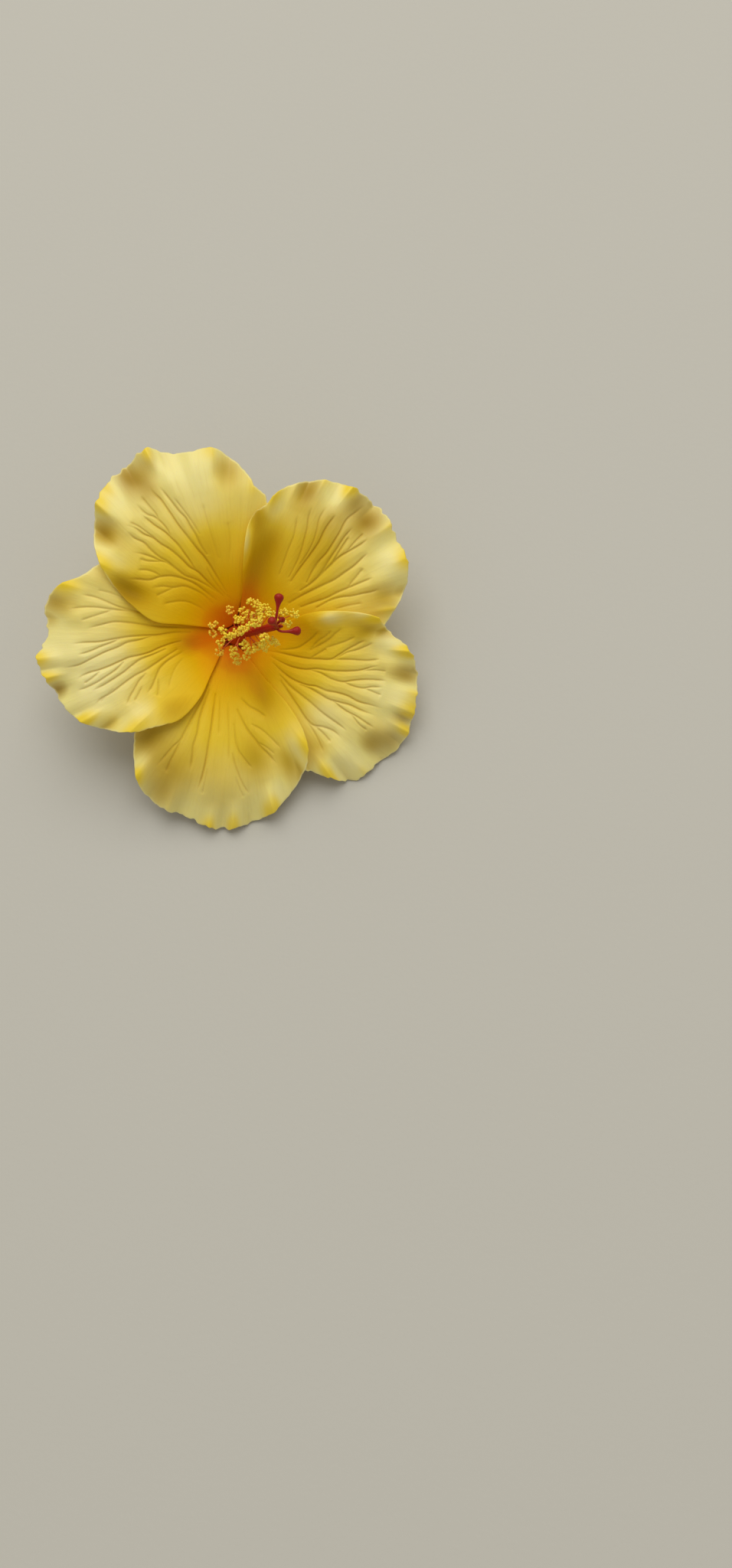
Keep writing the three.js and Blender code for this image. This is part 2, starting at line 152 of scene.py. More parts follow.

# The next four tables, CREASES, FOLDS, BULGES and LIGHT_SHADE_AND_TONE_PATCHES, weren't written by hand. Their places were
# worked out by another program from points picked by eye, and rounded to half units.

# The creases pressed into each petal: (strength, (angle from the midrib, distance from the axis) along it)
CREASES = {
    "petal_left": [
        (0.8, [(-23, 32), (-22.5, 41), (-22.5, 48), (-23.5, 53.5), (-24, 58.5), (-23.5, 64)]),
        (0.5, [(-27.5, 47.5), (-27.5, 53), (-27, 58)]),
        (0.8, [(-22.5, 40.5), (-21, 47.5), (-20.5, 52), (-20, 57.5), (-19, 62.5), (-17.5, 68)]),
        (0.7, [(-20.5, 50), (-18, 54), (-16, 58), (-14, 62.5)]),
        (0.9, [(-19.5, 17), (-16.5, 25), (-15.5, 31.5), (-15.5, 37.5), (-15.5, 43.5), (-15, 49),
            (-13, 54.5), (-11, 60.5)]),
        (1, [(-12.5, 18.5), (-11.5, 25), (-9, 31.5), (-8.5, 37.5), (-8, 42.5), (-7, 48.5), (-6, 54.5),
            (-6, 60.5), (-5.5, 67)]),
        (0.9, [(-7, 46.5), (-5.5, 49.5), (-4, 54), (-2.5, 58.5), (-1.5, 64)]),
        (1, [(-8, 34), (-6, 38.5), (-5, 43.5), (-3, 47.5), (-1.5, 52.5), (0.5, 58.5), (2, 64.5),
            (2, 72)]),
        (1.1, [(-2.5, 22.5), (-1.5, 26), (0.5, 31), (2.5, 35.5), (3, 40.5), (3, 44), (4, 48), (5, 52.5),
            (5.5, 57), (5.5, 60), (6, 63.5), (7, 67)]),
        (1, [(2.5, 29), (4.5, 34.5), (5.5, 39.5), (7.5, 43.5), (9.5, 47.5), (11, 52.5), (12, 57.5),
            (12.5, 63)]),
        (0.9, [(5, 46.5), (7.5, 50.5), (9, 55), (10, 59), (10.5, 63.5), (10.5, 68.5)]),
        (0.8, [(6.5, 57), (8, 60.5), (9, 64.5)]),
        (1, [(5, 24.5), (8.5, 30), (11, 35), (12.5, 39.5), (13, 43.5), (14.5, 49), (16, 55), (16.5, 60),
            (17.5, 63.5)]),
        (0.5, [(15, 54), (16.5, 58), (17.5, 61)]),
        (0.9, [(9, 23), (12, 29.5), (15, 33.5), (19, 36.5), (22.5, 39.5), (25, 43.5)]),
        (0.8, [(14.5, 39.5), (16.5, 43), (19, 46), (21.5, 49.5), (24, 52.5)]),
        (0.6, [(20.5, 43.5), (22.5, 46), (24.5, 49)]),
        (0.6, [(21, 36), (26, 38), (29.5, 40.5)]),
        (0.35, [(15, 23.5), (20, 28), (25, 31.5), (30, 35)]),
    ],
    "petal_upper_left": [
        (0.7, [(20.5, 15.5), (22.5, 20), (26, 24.5), (32, 28.5), (37.5, 32)]),
        (0.7, [(4.5, 16), (8, 21), (12, 25), (16, 28.5), (22.5, 31.5), (26, 35), (31.5, 39)]),
        (0.6, [(21.5, 31), (28, 33), (34, 35.5)]),
        (1, [(-2, 16.5), (3.5, 21), (7.5, 26), (11.5, 30), (16.5, 34.5), (22, 38), (27, 40.5),
            (30, 44.5), (33, 49)]),
        (0.8, [(21.5, 37.5), (22, 40.5), (23.5, 43.5), (26.5, 47)]),
        (0.9, [(-8, 19), (-0.5, 23.5), (5.5, 28), (10, 31.5), (11.5, 35.5), (13, 39.5), (15, 42),
            (16.5, 45), (18.5, 48.5), (21.5, 53)]),
        (0.7, [(13.5, 40.5), (17.5, 43.5), (20, 46), (21.5, 49)]),
        (1, [(9.5, 31), (11.5, 36), (12.5, 40), (14, 43.5), (14.5, 47.5), (14.5, 51.5), (16, 55.5),
            (16, 59.5)]),
        (1.1, [(-13, 17), (-6, 21.5), (-2.5, 25.5), (0, 29.5), (3.5, 33), (4.5, 36), (5.5, 39), (7, 43),
            (9, 47), (10, 50.5), (12, 54), (13, 58), (15.5, 62.5)]),
        (0.8, [(9.5, 49.5), (10.5, 53.5), (11.5, 57.5), (13, 61.5)]),
        (1, [(1, 31), (1, 34.5), (1.5, 38.5), (2, 42.5), (3, 46), (4, 49.5), (6, 54), (7, 57.5),
            (8, 61)]),
        (0.8, [(3, 47), (2.5, 50), (3, 53.5), (4, 56.5), (6, 59.5), (7, 65.5)]),
        (0.7, [(3.5, 54.5), (3, 57.5), (3.5, 61.5), (4, 67)]),
        (1.1, [(-19, 18), (-13.5, 24.5), (-10.5, 30.5), (-8.5, 34.5), (-7, 37), (-5.5, 41), (-4, 45.5),
            (-3, 49.5), (-2.5, 53.5), (-2, 57.5), (-1.5, 61.5), (-0.5, 65), (0, 69.5)]),
        (1, [(-11, 34.5), (-9.5, 38.5), (-9, 43), (-8, 47), (-7.5, 50.5), (-6, 54), (-5, 58),
            (-4, 62.5), (-3, 67)]),
        (0.7, [(-11, 43), (-10, 46.5), (-9, 50), (-7.5, 55), (-6, 60.5)]),
        (0.4, [(-18.5, 32), (-17, 42), (-16.5, 49), (-16.5, 54.5)]),
        (0.3, [(-26.5, 31), (-27.5, 41), (-26.5, 46)]),
        (0.5, [(-30.5, 14), (-14.5, 18.5), (-8.5, 25), (-7.5, 30.5)]),
    ],
    "petal_upper_right": [
        (0.6, [(9, 31), (11.5, 36.5), (13, 41), (14, 46), (15.5, 50), (17.5, 55)]),
        (0.7, [(2, 32.5), (5, 39.5), (7, 44), (9.5, 49), (11, 52.5), (13, 56.5), (14, 61.5)]),
        (0.6, [(2.5, 39.5), (3.5, 44.5), (5, 49.5), (7, 54), (9, 58.5), (9.5, 64.5)]),
        (1, [(-1, 32), (1, 38.5), (2, 45), (3, 51), (4.5, 56), (5, 60.5), (5, 64.5)]),
        (1, [(-8.5, 36.5), (-5, 41.5), (-3.5, 45.5), (-3, 50), (-1.5, 55.5), (-0.5, 59.5), (1, 65.5),
            (0.5, 71), (0, 76.5)]),
        (1, [(-11, 36), (-9.5, 42), (-6.5, 48.5), (-4.5, 54.5), (-3, 60), (-2.5, 65.5)]),
        (0.9, [(-9, 48), (-6.5, 53.5), (-5, 58), (-4, 62)]),
        (1.1, [(-10.5, 32.5), (-10.5, 37.5), (-9.5, 43), (-8.5, 48.5), (-8, 53.5), (-8.5, 58), (-9, 63.5),
            (-9, 68)]),
        (0.9, [(-8, 57.5), (-7, 62), (-6.5, 67.5)]),
        (1.1, [(-14, 26), (-14, 31.5), (-14.5, 36), (-15, 41), (-15.5, 46.5), (-15, 51.5), (-14.5, 56.5),
            (-13.5, 61), (-13, 64.5)]),
        (1, [(-21.5, 29.5), (-22, 35), (-22.5, 40.5), (-22, 45.5), (-22, 50), (-22, 54.5), (-22, 58.5),
            (-22, 61.5)]),
        (0.9, [(-21.5, 50.5), (-20, 53), (-18.5, 56), (-17, 59.5)]),
        (0.9, [(-26, 35.5), (-24.5, 41.5), (-25, 46.5), (-26, 50), (-26.5, 54.5), (-27, 58.5), (-27, 63)]),
        (0.5, [(-30, 43), (-30, 48), (-30.5, 54)]),
    ],
    "petal_lower": [
        (0.8, [(-21.5, 23), (-20, 29), (-20, 35), (-20, 40.5), (-20, 44), (-20, 48.5), (-21.5, 52.5),
            (-22.5, 58), (-23.5, 64)]),
        (0.9, [(-17.5, 25), (-16.5, 32), (-15.5, 37), (-13.5, 43), (-13, 48.5), (-11.5, 54),
            (-10.5, 59.5)]),
        (0.8, [(-20, 47.5), (-19.5, 53), (-19.5, 58.5), (-19, 63.5)]),
        (1, [(-10.5, 25.5), (-8, 33.5), (-6.5, 41), (-6, 47), (-5.5, 52.5), (-5.5, 59.5), (-6, 67)]),
        (0.4, [(2, 28), (3.5, 36), (4.5, 44), (5, 52.5)]),
        (0.35, [(-6, 26), (-3, 34), (-1.5, 42)]),
        (0.8, [(13.5, 26), (19, 29.5), (25, 32.5), (29, 36)]),
        (0.9, [(9.5, 30.5), (15, 38.5), (18.5, 43), (21, 47), (23.5, 50.5), (26, 56)]),
        (0.7, [(18.5, 37), (23.5, 40), (27.5, 45), (30, 50)]),
        (0.6, [(19.5, 44.5), (23.5, 47.5), (26.5, 51.5)]),
        (0.6, [(7, 36.5), (9, 46), (12, 50.5), (15.5, 55.5)]),
        (0.6, [(6.5, 48.5), (8, 53.5), (10.5, 60.5), (13, 66)]),
        (0.4, [(8, 58), (9.5, 63), (11, 67)]),
        (0.4, [(-4, 56), (-4, 61.5), (-4, 67)]),
    ],
    "petal_right": [
        (0.8, [(11.5, 19.5), (15.5, 23.5), (18.5, 26.5), (24.5, 30), (29, 32.5), (33, 34.5)]),
        (0.7, [(20.5, 32), (26, 34.5), (29.5, 37.5), (32.5, 39.5)]),
        (0.8, [(18.5, 31.5), (23.5, 35.5), (27, 38.5), (30.5, 41), (33.5, 44)]),
        (0.8, [(21.5, 37.5), (24.5, 42), (26.5, 45.5), (29, 49.5)]),
        (1.1, [(3.5, 14.5), (8, 20), (10, 25.5), (11.5, 30.5), (13.5, 35.5), (15.5, 40.5), (18.5, 43),
            (22, 46), (24.5, 49), (26.5, 52), (27, 55)]),
        (0.8, [(13, 32.5), (18, 35.5), (21.5, 38)]),
        (0.9, [(16.5, 42.5), (20.5, 46), (22.5, 50), (24.5, 53.5), (26.5, 57)]),
        (1, [(15.5, 41), (17.5, 48), (18.5, 54.5), (20, 60.5)]),
        (1.1, [(-1, 17.5), (-1, 22), (0.5, 27), (3.5, 32), (7, 36), (8.5, 40), (10, 44), (12, 49),
            (14, 53.5), (16, 57), (18, 61.5)]),
        (0.8, [(14, 54.5), (15.5, 59.5), (16, 64)]),
        (1, [(4.5, 33.5), (5.5, 38.5), (5, 43), (6, 48), (8, 51), (10.5, 56), (12, 61.5), (12.5, 65.5)]),
        (0.9, [(6, 48), (6, 52.5), (7, 57), (8.5, 59.5), (10, 64.5)]),
        (0.8, [(7, 58), (7, 61), (7, 65)]),
        (1.1, [(-7, 19.5), (-8.5, 25), (-8, 30), (-5.5, 35.5), (-3, 39), (-2, 43.5), (0, 48), (1, 52.5),
            (1, 57), (2, 62), (3, 69)]),
        (1.1, [(-8, 33.5), (-6, 38), (-5.5, 42), (-5, 46.5), (-3.5, 50.5), (-2, 55), (-1.5, 60),
            (-0.5, 67)]),
        (1, [(-4.5, 48.5), (-5, 52), (-5, 55.5), (-4.5, 60), (-4.5, 64.5), (-4.5, 69.5)]),
        (0.8, [(-5, 57.5), (-6.5, 62.5), (-6.5, 67)]),
        (1, [(-12.5, 25), (-13.5, 30.5), (-13, 36), (-12.5, 41.5), (-12.5, 47), (-12, 52),
            (-11.5, 56.5), (-11.5, 61)]),
        (1, [(-16, 26.5), (-18, 32.5), (-19.5, 39), (-20.5, 44.5), (-20, 48.5), (-17, 52), (-15, 56.5),
            (-15, 61.5)]),
        (0.8, [(-19.5, 50), (-19, 54), (-19, 59)]),
        (0.6, [(-21, 46.5), (-21.5, 49.5), (-22.5, 54.5), (-24, 60.5)]),
    ],
}

# Folds of each petal's rim: (angle from the midrib, distance from the axis, height, half width)
FOLDS = {
    "petal_left": [
        (-25.5, 69.5, 2.6, 5), (-14, 77, -2.9, 6), (-2, 80.5, 2.9, 4), (1.5, 78.5, -1.6, 2),
        (4, 78, 3.6, 3.6), (8.5, 77.5, -3.4, 3.4), (17.5, 72, -1.3, 2.5), (20.5, 68.5, 3.8, 4.4),
        (26.5, 63.5, -2.9, 4), (33.5, 52.5, 2.6, 4.5)],
    "petal_upper_left": [
        (32, 60, 2.9, 5), (16.5, 74, 3.6, 3.2), (23, 68.5, -3.6, 4), (11, 77.5, 1.9, 3.5),
        (3, 79.5, -3.4, 4), (-4.5, 81, 2.6, 3.5), (-8, 77, -1.6, 3.5), (-23, 74, 2.2, 5),
        (-28.5, 67, -2.3, 5), (-37, 60.5, 1.4, 4)],
    "petal_upper_right": [
        (29.5, 58, 2.9, 3.8), (36, 50.5, -2.1, 3.5), (22.5, 67, 1.4, 2.5), (19, 68.5, -3.9, 3.6),
        (15, 73, 2.2, 3), (6.5, 77, 3.8, 3.4), (-2, 77.5, -3.6, 4), (-9.5, 78, 1.4, 3),
        (-20.5, 77.5, 2.6, 6), (-30.5, 70, -2.9, 4), (-35, 63.5, 1.7, 3)],
    "petal_lower": [
        (-35, 60, -2.3, 5), (-27.5, 71.5, 3.4, 4.6), (-20, 77, -2.3, 4.5), (-13.5, 76.5, 1.0, 3),
        (-10, 78, -1.3, 3), (0, 80.5, 2.6, 3.8), (3.5, 79.5, -1.8, 2.6), (7, 78, 3.1, 3.6),
        (12, 76, -1.6, 3), (20, 72.5, 3.8, 4), (24.5, 69.5, -1.0, 2.4), (33, 60, -2.9, 3.4),
        (40.5, 52, 2.4, 5)],
    "petal_right": [
        (36, 59, 3.6, 4), (31, 61.5, -3.9, 3.4), (24, 71, 4.1, 3.2), (17.5, 77.5, -3.9, 4),
        (11.5, 79, 1.9, 3.4), (5.5, 77.5, 3.6, 3.8), (3, 80, -2.6, 2.2), (0, 80.5, 3.4, 3.2),
        (-4, 83, -2.6, 3), (-11, 80, -1.6, 4), (-17.5, 77.5, 1.2, 3), (-23, 73, -2.1, 3),
        (-27, 67.5, 3.1, 3.6), (-32.5, 62.5, -1.3, 3)],
}

# Broad bulges and dips of each petal: (angle, distance, height, half width across, half length outwards)
BULGES = {
    "petal_left": [
        (-4, 71, 1.0, 6, 10), (-17, 75.5, -1.2, 5, 8), (20.5, 62, -0.8, 4, 7)],
    "petal_upper_left": [
        (-15, 69, 1.2, 8, 8), (37.5, 47, -2.4, 4, 9), (0, 63, -0.8, 6, 10), (-30, 41, -0.8, 4, 12)],
    "petal_upper_right": [
        (38.5, 36, 2.2, 2.6, 10), (26.5, 36, -1.5, 5, 12), (-3.5, 75.5, -1.2, 5, 7),
        (-19, 70.5, 1.0, 6, 7)],
    "petal_lower": [
        (38, 46, 1.4, 5, 9), (36.5, 28, -1.2, 4, 9), (-29.5, 51.5, -1.2, 5, 9), (2, 60.5, 0.7, 6, 12)],
    "petal_right": [
        (40.5, 37.5, 3.0, 3.5, 6), (39, 57, 2.4, 2.6, 7), (34, 48, -0.8, 3, 6), (0, 75, 2.6, 24, 13),
        (-11, 71.5, -1.0, 6, 6), (-18.5, 66, 0.9, 6, 6)],
}

# Pale patches (above 0), painted light that is partly also the petals' own paler tone, and deep patches
# (below 0), painted shade of the folds, of each petal: (angle, distance, tone, half width, half length)
LIGHT_SHADE_AND_TONE_PATCHES = {
    "petal_left": [
        (-4.5, 73.5, 0.6, 7, 9), (7, 64.5, 0.55, 8, 9), (30.5, 50, 0.5, 5, 7), (14.5, 61, 0.7, 10, 11),
        (0, 54.5, 0.35, 6, 10), (-7.5, 53.5, 0.3, 12, 14), (11.5, 44.5, 0.4, 8, 11),
        (-19, 73, -0.7, 5, 8), (8.5, 76, -0.5, 3, 5), (8, 72.5, -0.5, 5, 8), (25.5, 63, -0.35, 4, 5),
        (-20.5, 52.5, 0.2, 9, 8), (0, 19.5, -0.5, 5, 7), (27.5, 31, 0.5, 7, 9),
        (40.5, 38.5, -0.4, 7, 8), (-4.5, 80, 0.5, 4, 4)],
    "petal_upper_left": [
        (22, 65.5, -0.85, 4.5, 7), (4, 75.5, -0.85, 5.5, 8), (0, 68.5, -0.45, 4, 8),
        (-3.5, 77.5, -0.45, 4, 6), (36, 49, -0.5, 6, 10), (39, 44, -0.6, 5, 8),
        (-13.5, 39.5, -0.2, 6, 9), (-10, 71.5, 0.3, 7, 7), (11.5, 76.5, 0.5, 4, 7),
        (28.5, 58, 0.35, 4, 7), (-27, 66, -0.55, 6, 7), (-11, 54, 0.25, 8, 12),
        (-18.5, 61.5, 0.4, 6, 9)],
    "petal_upper_right": [
        (27.5, 27.5, -0.65, 7, 13), (34, 48, -0.65, 4, 7), (23.5, 41, -0.4, 5, 9),
        (37.5, 36, 0.9, 1.8, 9), (28.5, 55.5, 0.45, 4, 6), (-19.5, 73.5, 0.45, 7, 8),
        (9, 72.5, 0.4, 4, 6), (18, 65, -0.8, 4.5, 8), (3, 74, -0.5, 3.5, 6), (-4.5, 72, -0.9, 6, 8),
        (1, 49, -0.4, 10, 12), (-31.5, 63, -0.6, 6, 8), (4.5, 62, -0.3, 6, 8)],
    "petal_lower": [
        (-4, 57.5, -0.22, 20, 12), (-32.5, 55, -0.6, 6, 10), (30.5, 57, -0.5, 4, 8),
        (-19, 61.5, -0.5, 9, 10), (-17, 73.5, -0.4, 6, 7), (32, 27.5, -0.45, 4, 9),
        (17.5, 50.5, -0.45, 6, 9), (23.5, 66, 0.35, 3, 5), (37, 51.5, 0.55, 4, 6),
        (-29.5, 64, 0.3, 3, 5), (3, 71, -0.15, 9, 8)],
    "petal_right": [
        (39.5, 38.5, 0.85, 3, 6), (27, 61.5, 0.65, 5, 6), (9.5, 74.5, 0.45, 5, 6),
        (-19, 70.5, 0.7, 10, 7), (8, 66.5, 0.4, 6, 8), (39, 57, 1.1, 1.8, 6), (31, 54, -0.6, 4, 8),
        (16, 72.5, -0.7, 4.5, 7), (3, 77, -0.5, 3, 5), (-5.5, 73, -0.42, 7, 8), (-4.5, 79, -0.3, 5, 5),
        (-11, 71.5, -0.6, 5, 6), (26.5, 31, -0.35, 5, 8), (37.5, 26.5, -0.3, 4, 7),
        (-12, 51.5, 0.6, 8, 10), (-25, 57, -0.35, 5, 7)],
}

# Calyx, bractlets and the stub of stalk behind the petals
CALYX_LOBES = 5
CALYX_CUP_RADIUS = 9
CALYX_LOBE_LENGTH = 11
CALYX_LOBE_POWER = 0.8
CALYX_LOBE_AXIS = 10
CALYX_CLEARANCE = 2.05
CALYX_WALL = 0.8
CALYX_BASE_DEPTH = 3.4
CALYX_BASE_RADIUS = 2.5
CALYX_RIB_HEIGHT = 0.3
CALYX_RIB_WIDTH = 0.09  # shares of half a lobe, as is the side ribs' place
CALYX_SIDE_RIB = 0.55
CALYX_RIB_RANGE = (2, 6)
CALYX_FLUSH_RANGE = (7, 10)  # where the throat's colour ends inside
CALYX_LENGTH = 20
CALYX_SPOKES = 240
CALYX_RINGS = 36
CALYX_RIM_SHARE = 0.985
CALYX_FRAME_SPOKES = 50
CALYX_FRAME_RINGS = (0, 0.25, 0.5, 0.75, 1)
BRACTLET_COUNT = 6
BRACTLET_TURN = 36
BRACTLET_PATH = ((2, -0.5), (5.5, -0.6), (12, 3.2))  # (distance from the axis, height over the stalk's top)
BRACTLET_RADII = ((0, 0.5), (0.3, 0.85), (0.65, 0.75), (0.9, 0.35), (1, 0.02))  # (share of length, radius)
BRACTLET_RINGS = 40
BRACTLET_SIDES = 20
BRACTLET_FLATNESS = 0.45
STALK_TOP = -6.55
STALK_RADII = ((0, 1.9), (0.6, 1.9), (0.85, 2.3), (1, 2.1))  # (share of length, radius)
STALK_SHARES = (0.01, 0.04, 0.98)  # of its length: the ring by the cut, and the first and last even rings
STALK_RINGS = 40
STALK_SIDES = 48
STALK_RIDGES = 6
STALK_RIDGE_HEIGHT = 0.06
FLOOR_CLEARANCE = 0.02

# Staminal column, its stamens and the style branches at its tip
COLUMN_PATH = [(0, 0, -1.5), (0.2, 0, 8), (2.2, 0.4, 20), (6.8, 1.4, 33), (16, 3.7, 47)]
COLUMN_STATIONS = [  # (share of its length, radius)
    (0, 0.3), (0.03, 1.8), (0.05, 2.9), (0.075, 4), (0.1, 3.8), (0.14, 2.8), (0.2, 2), (0.28, 1.6),
    (0.4, 1.5), (0.52, 1.5), (0.64, 1.5), (0.76, 1.5), (0.88, 1.5), (0.97, 1.55), (1, 1.3)]
COLUMN_CURVE_STEPS = 60
COLUMN_FOOT_END, COLUMN_UPPER_START = 0.16, 0.165  # shares of its length; the foot has closer rings
COLUMN_FOOT_RINGS = 40
COLUMN_RINGS = 150
COLUMN_SIDES = 45
COLUMN_RIDGES = 9
COLUMN_RIDGE_HEIGHT = 0.05
COLUMN_RIDGE_RANGE = (0.1, 0.2)  # shares of its length over which the ridges rise
COLUMN_RIDGE_TURN = 4  # radians that they wind over its length
COLUMN_ROUNDING = 0.015  # share of its length that rounds over at the tip
FILAMENT_PITCH = 0.3
FILAMENT_START = 1.4  # from the column's middle line
FILAMENT_BEND = 0.5  # where it leaves the square direction, as a share of its reach
FILAMENT_RADII = ((0, 0.3), (0.2, 0.2), (1, 0.17))  # (share of length, radius)
FILAMENT_RINGS = 16
FILAMENT_SIDES = 6
SHORTEST_REACH = 7.5
ANTHER_RADIUS = 1.3
ANTHER_SPREAD = 1.9  # how far from an anther's middle its beads lie
STAMEN_SEED = 100
BEAD_BANDS = 6
BEAD_SIDES = 8
BEAD_SIZES = (0.8, 1.15)  # shares of the bead radius
PEACH_SHARES = (0.3, 0.42)  # the stamens that stand this low on the column have warmer beads
STAMENS = [  # (share of the column where it stands, where its anther lies in X and in Y)
    (0.3, -9.8, 0.7), (0.33, -9.7, 4.9), (0.36, -6.6, -3.4), (0.42, -6.1, 2.4), (0.5, -4.4, -0.9),
    (0.56, -2, -0.2), (0.62, 0, 1), (0.67, 2, 2), (0.72, 4, 3.1), (0.78, 6.9, 4.8), (0.83, 9.5, 5.6),
    (0.31, -2.2, 11.3), (0.38, 3.6, 10.8), (0.42, 0.9, 7.4), (0.48, 2.9, 6.4), (0.55, 7, 14),
    (0.5, 6.2, 9.3), (0.62, 9.8, 13.4), (0.57, 8.6, 9.2), (0.64, 11.2, 10.6), (0.7, 13.2, 12),
    (0.74, 11.2, 7.8), (0.78, 15, 9.4), (0.8, 20.3, 9.6), (0.81, 21.8, 5.6), (0.76, 19, 6.6),
    (0.87, 24.4, 9), (0.82, 12.2, -0.4), (0.77, 15, -1.9), (0.7, 12, -3.6), (0.68, 17.2, -3),
    (0.6, 9.6, -5.2), (0.54, 13, -5.6), (0.6, 3.9, -4), (0.64, 7, -6.4), (0.46, -1.2, -7),
    (0.4, -0.3, -9.4), (0.34, 1.2, -11.6), (0.5, 5, -9), (0.3, -7, -7.4)]
STYLE_FOOT_DEPTH = 0.6  # below the column's tip
STYLE_FOOT_RING = 0.76  # from the column's middle line
STYLE_RADIUS = 0.5
STYLE_CURVE_STEPS = 30
STYLE_RINGS = 40
STYLE_SIDES = 24
STIGMA_LENGTH = 3.4  # times its radius
STIGMA_PROFILE = (  # (share of its length, share of its radius)
    (0.2, 0.36), (0.4, 0.56), (0.55, 0.8), (0.68, 0.98), (0.78, 1), (0.87, 0.88), (0.94, 0.62),
    (0.98, 0.36), (1, 0))
# (where it ends, bends at (height above the column's tip, distance out), radius of its stigma)
STYLES = [
    ((-0.9, -0.3, -6.5), [(1.2, 1.6), (0.1, 2.5), (-2.6, 2.7)], 1.2),
    ((2.9, 2.2, -4.6), [(1.9, 2.2), (0.4, 3.6)], 1.2),
    ((1.2, 12.6, 2.5), [(2, 2.2)], 1.9),
    ((-2.8, 2.8, 6.5), [(2.4, 1.4)], 1.7),
    ((9.6, -1.7, 1.5), [(2.2, 2.4)], 1.8)]

# Camera and lights, in the flower's frame
CAMERA_HEIGHT = 560
CAMERA_AIM = (-0.1002, 0.1137, -1)  # where the flower's axis falls in the camera's own view
CAMERA_LENS = 30
KEY_FROM = (-0.12, 0.85, 0.68)
KEY_AIM = 15  # the height over the petals' spring that it points at
KEY_DISTANCE = 3.6  # metres
KEY_COLOUR = (1, 0.98, 0.94)
AMBIENT_COLOUR = (1, 0.96, 0.88, 1)


def linear(red, green, blue):
    """Linear colour of screen values from 0 to 255."""
    shares = [value / 255 for value in (red, green, blue)]
    return [share / 12.92 if share <= 0.04045 else ((share + 0.055) / 1.055) ** 2.4 for share in shares]


def colour_property(name, description, *screen):
    """A colour setting whose default is given in screen values."""
    return FloatVectorProperty(
        name=name, description=description, subtype="COLOR", size=3, min=0, max=1, default=linear(*screen))


class PetalSettings(bpy.types.PropertyGroup):
    """Sizes and colours of the petals."""

    thickness: FloatProperty(
        name="Thickness", description="Thickness of a petal", subtype="DISTANCE", default=0.6 * MM)
    groove: FloatProperty(
        name="Groove depth", description="Depth of a crease", subtype="DISTANCE", default=0.5 * MM)
    groove_width: FloatProperty(
        name="Groove width", description="Half width of a crease", subtype="DISTANCE", default=0.36 * MM)
    valley: FloatProperty(
        name="Valley depth", description="Depth of the wide dip round a crease", subtype="DISTANCE",
        default=0.42 * MM)
    throat: colour_property("Throat", "Colour at the claws", 234, 124, 0)
    flush: colour_property("Flush", "Colour of the flush round the throat", 238, 170, 0)
    inner: colour_property("Inner", "Colour just outside the throat", 232, 182, 0)
    middle: colour_property("Middle", "Colour half way out", 240, 206, 48)
    outer: colour_property("Outer", "Colour towards the rim", 247, 232, 142)
    # Crest: partly the airbrushed yellow, partly painted light shining through the thin folds
    crest: colour_property("Crest", "Colour on the crests of the rim's folds", 250, 216, 40)
    # Pale: painted light on the pale patches, partly the petals' own paler tone, and a painted highlight
    # along the rim's edge
    pale: colour_property("Pale", "Colour of the pale patches and the rim's edge", 252, 238, 164)
    # Deep: painted shade on the deep patches and in the rim's hollows
    deep: colour_property("Deep", "Colour of the deep patches and the rim's hollows", 158, 122, 6)
    # Crease: painted shade in the creases, also the colour of the fine streaks
    crease: colour_property("Crease", "Colour in the creases", 170, 128, 14)


class CoreSettings(bpy.types.PropertyGroup):
    """Sizes and colours of the column, stamens and styles."""

    bead_radius: FloatProperty(
        name="Bead radius", description="Radius of a pollen bead", subtype="DISTANCE", default=0.52 * MM)
    beads: IntProperty(name="Beads", description="Beads on each anther", default=20, min=1)
    filament: colour_property("Filament", "Colour of the filaments", 214, 92, 20)
    pollen: colour_property("Pollen", "Colour of most beads", 255, 230, 56)
    peach: colour_property("Peach", "Colour of the warmest beads", 255, 192, 60)
    foot: colour_property("Foot", "Colour of the column's foot", 204, 84, 16)
    tube: colour_property("Tube", "Colour of the column further up", 172, 22, 8)
    style: colour_property("Style", "Colour of the styles and stigmas", 168, 26, 14)


class GreenSettings(bpy.types.PropertyGroup):
    """Colours of the calyx, bractlets and stalk."""

    leaf: colour_property("Leaf", "Colour of the green pieces", 118, 148, 62)
    pale: colour_property("Pale", "Colour of their ribs and edges", 172, 186, 100)
    cut: colour_property("Cut", "Colour of the stalk's cut end", 206, 206, 150)
    throat: colour_property("Throat", "Colour of the calyx inside the throat", 190, 74, 8)


class StageSettings(bpy.types.PropertyGroup):
    """The floor and the lights."""

    floor: colour_property("Floor", "Colour of the floor", 199, 197, 188)
    floor_size: FloatProperty(
        name="Floor size", description="Side of the floor", subtype="DISTANCE", default=24)
    key_power: FloatProperty(
        name="Key power", description="Power of the soft key light", unit="POWER", default=94)
    key_size: FloatProperty(
        name="Key size", description="Side of the key light", subtype="DISTANCE", default=3.6)
    ambient: FloatProperty(
        name="Ambient", description="Strength of the even light from all round", default=0.41)


# ---------------------------------------------------------------- curves and surfaces


def ramp(value, low, high):
    """Smooth step: with t the share of the way from low to high, held in 0 to 1, it is 3t^2 - 2t^3."""
    share = np.clip((value - low) / (high - low), 0, 1)
    return share * share * (3 - 2 * share)


def flat_points(angle, radius):
    """Points (radius * cos angle, radius * sin angle), for angles in degrees."""
    turn = np.radians(angle)
    return np.stack([radius * np.cos(turn), radius * np.sin(turn)], axis=-1)


def spread_of(offset, width, power=2):
    """A bell: exp(-|offset / width|^power)."""
    return np.exp(-(np.abs(offset / width) ** power))


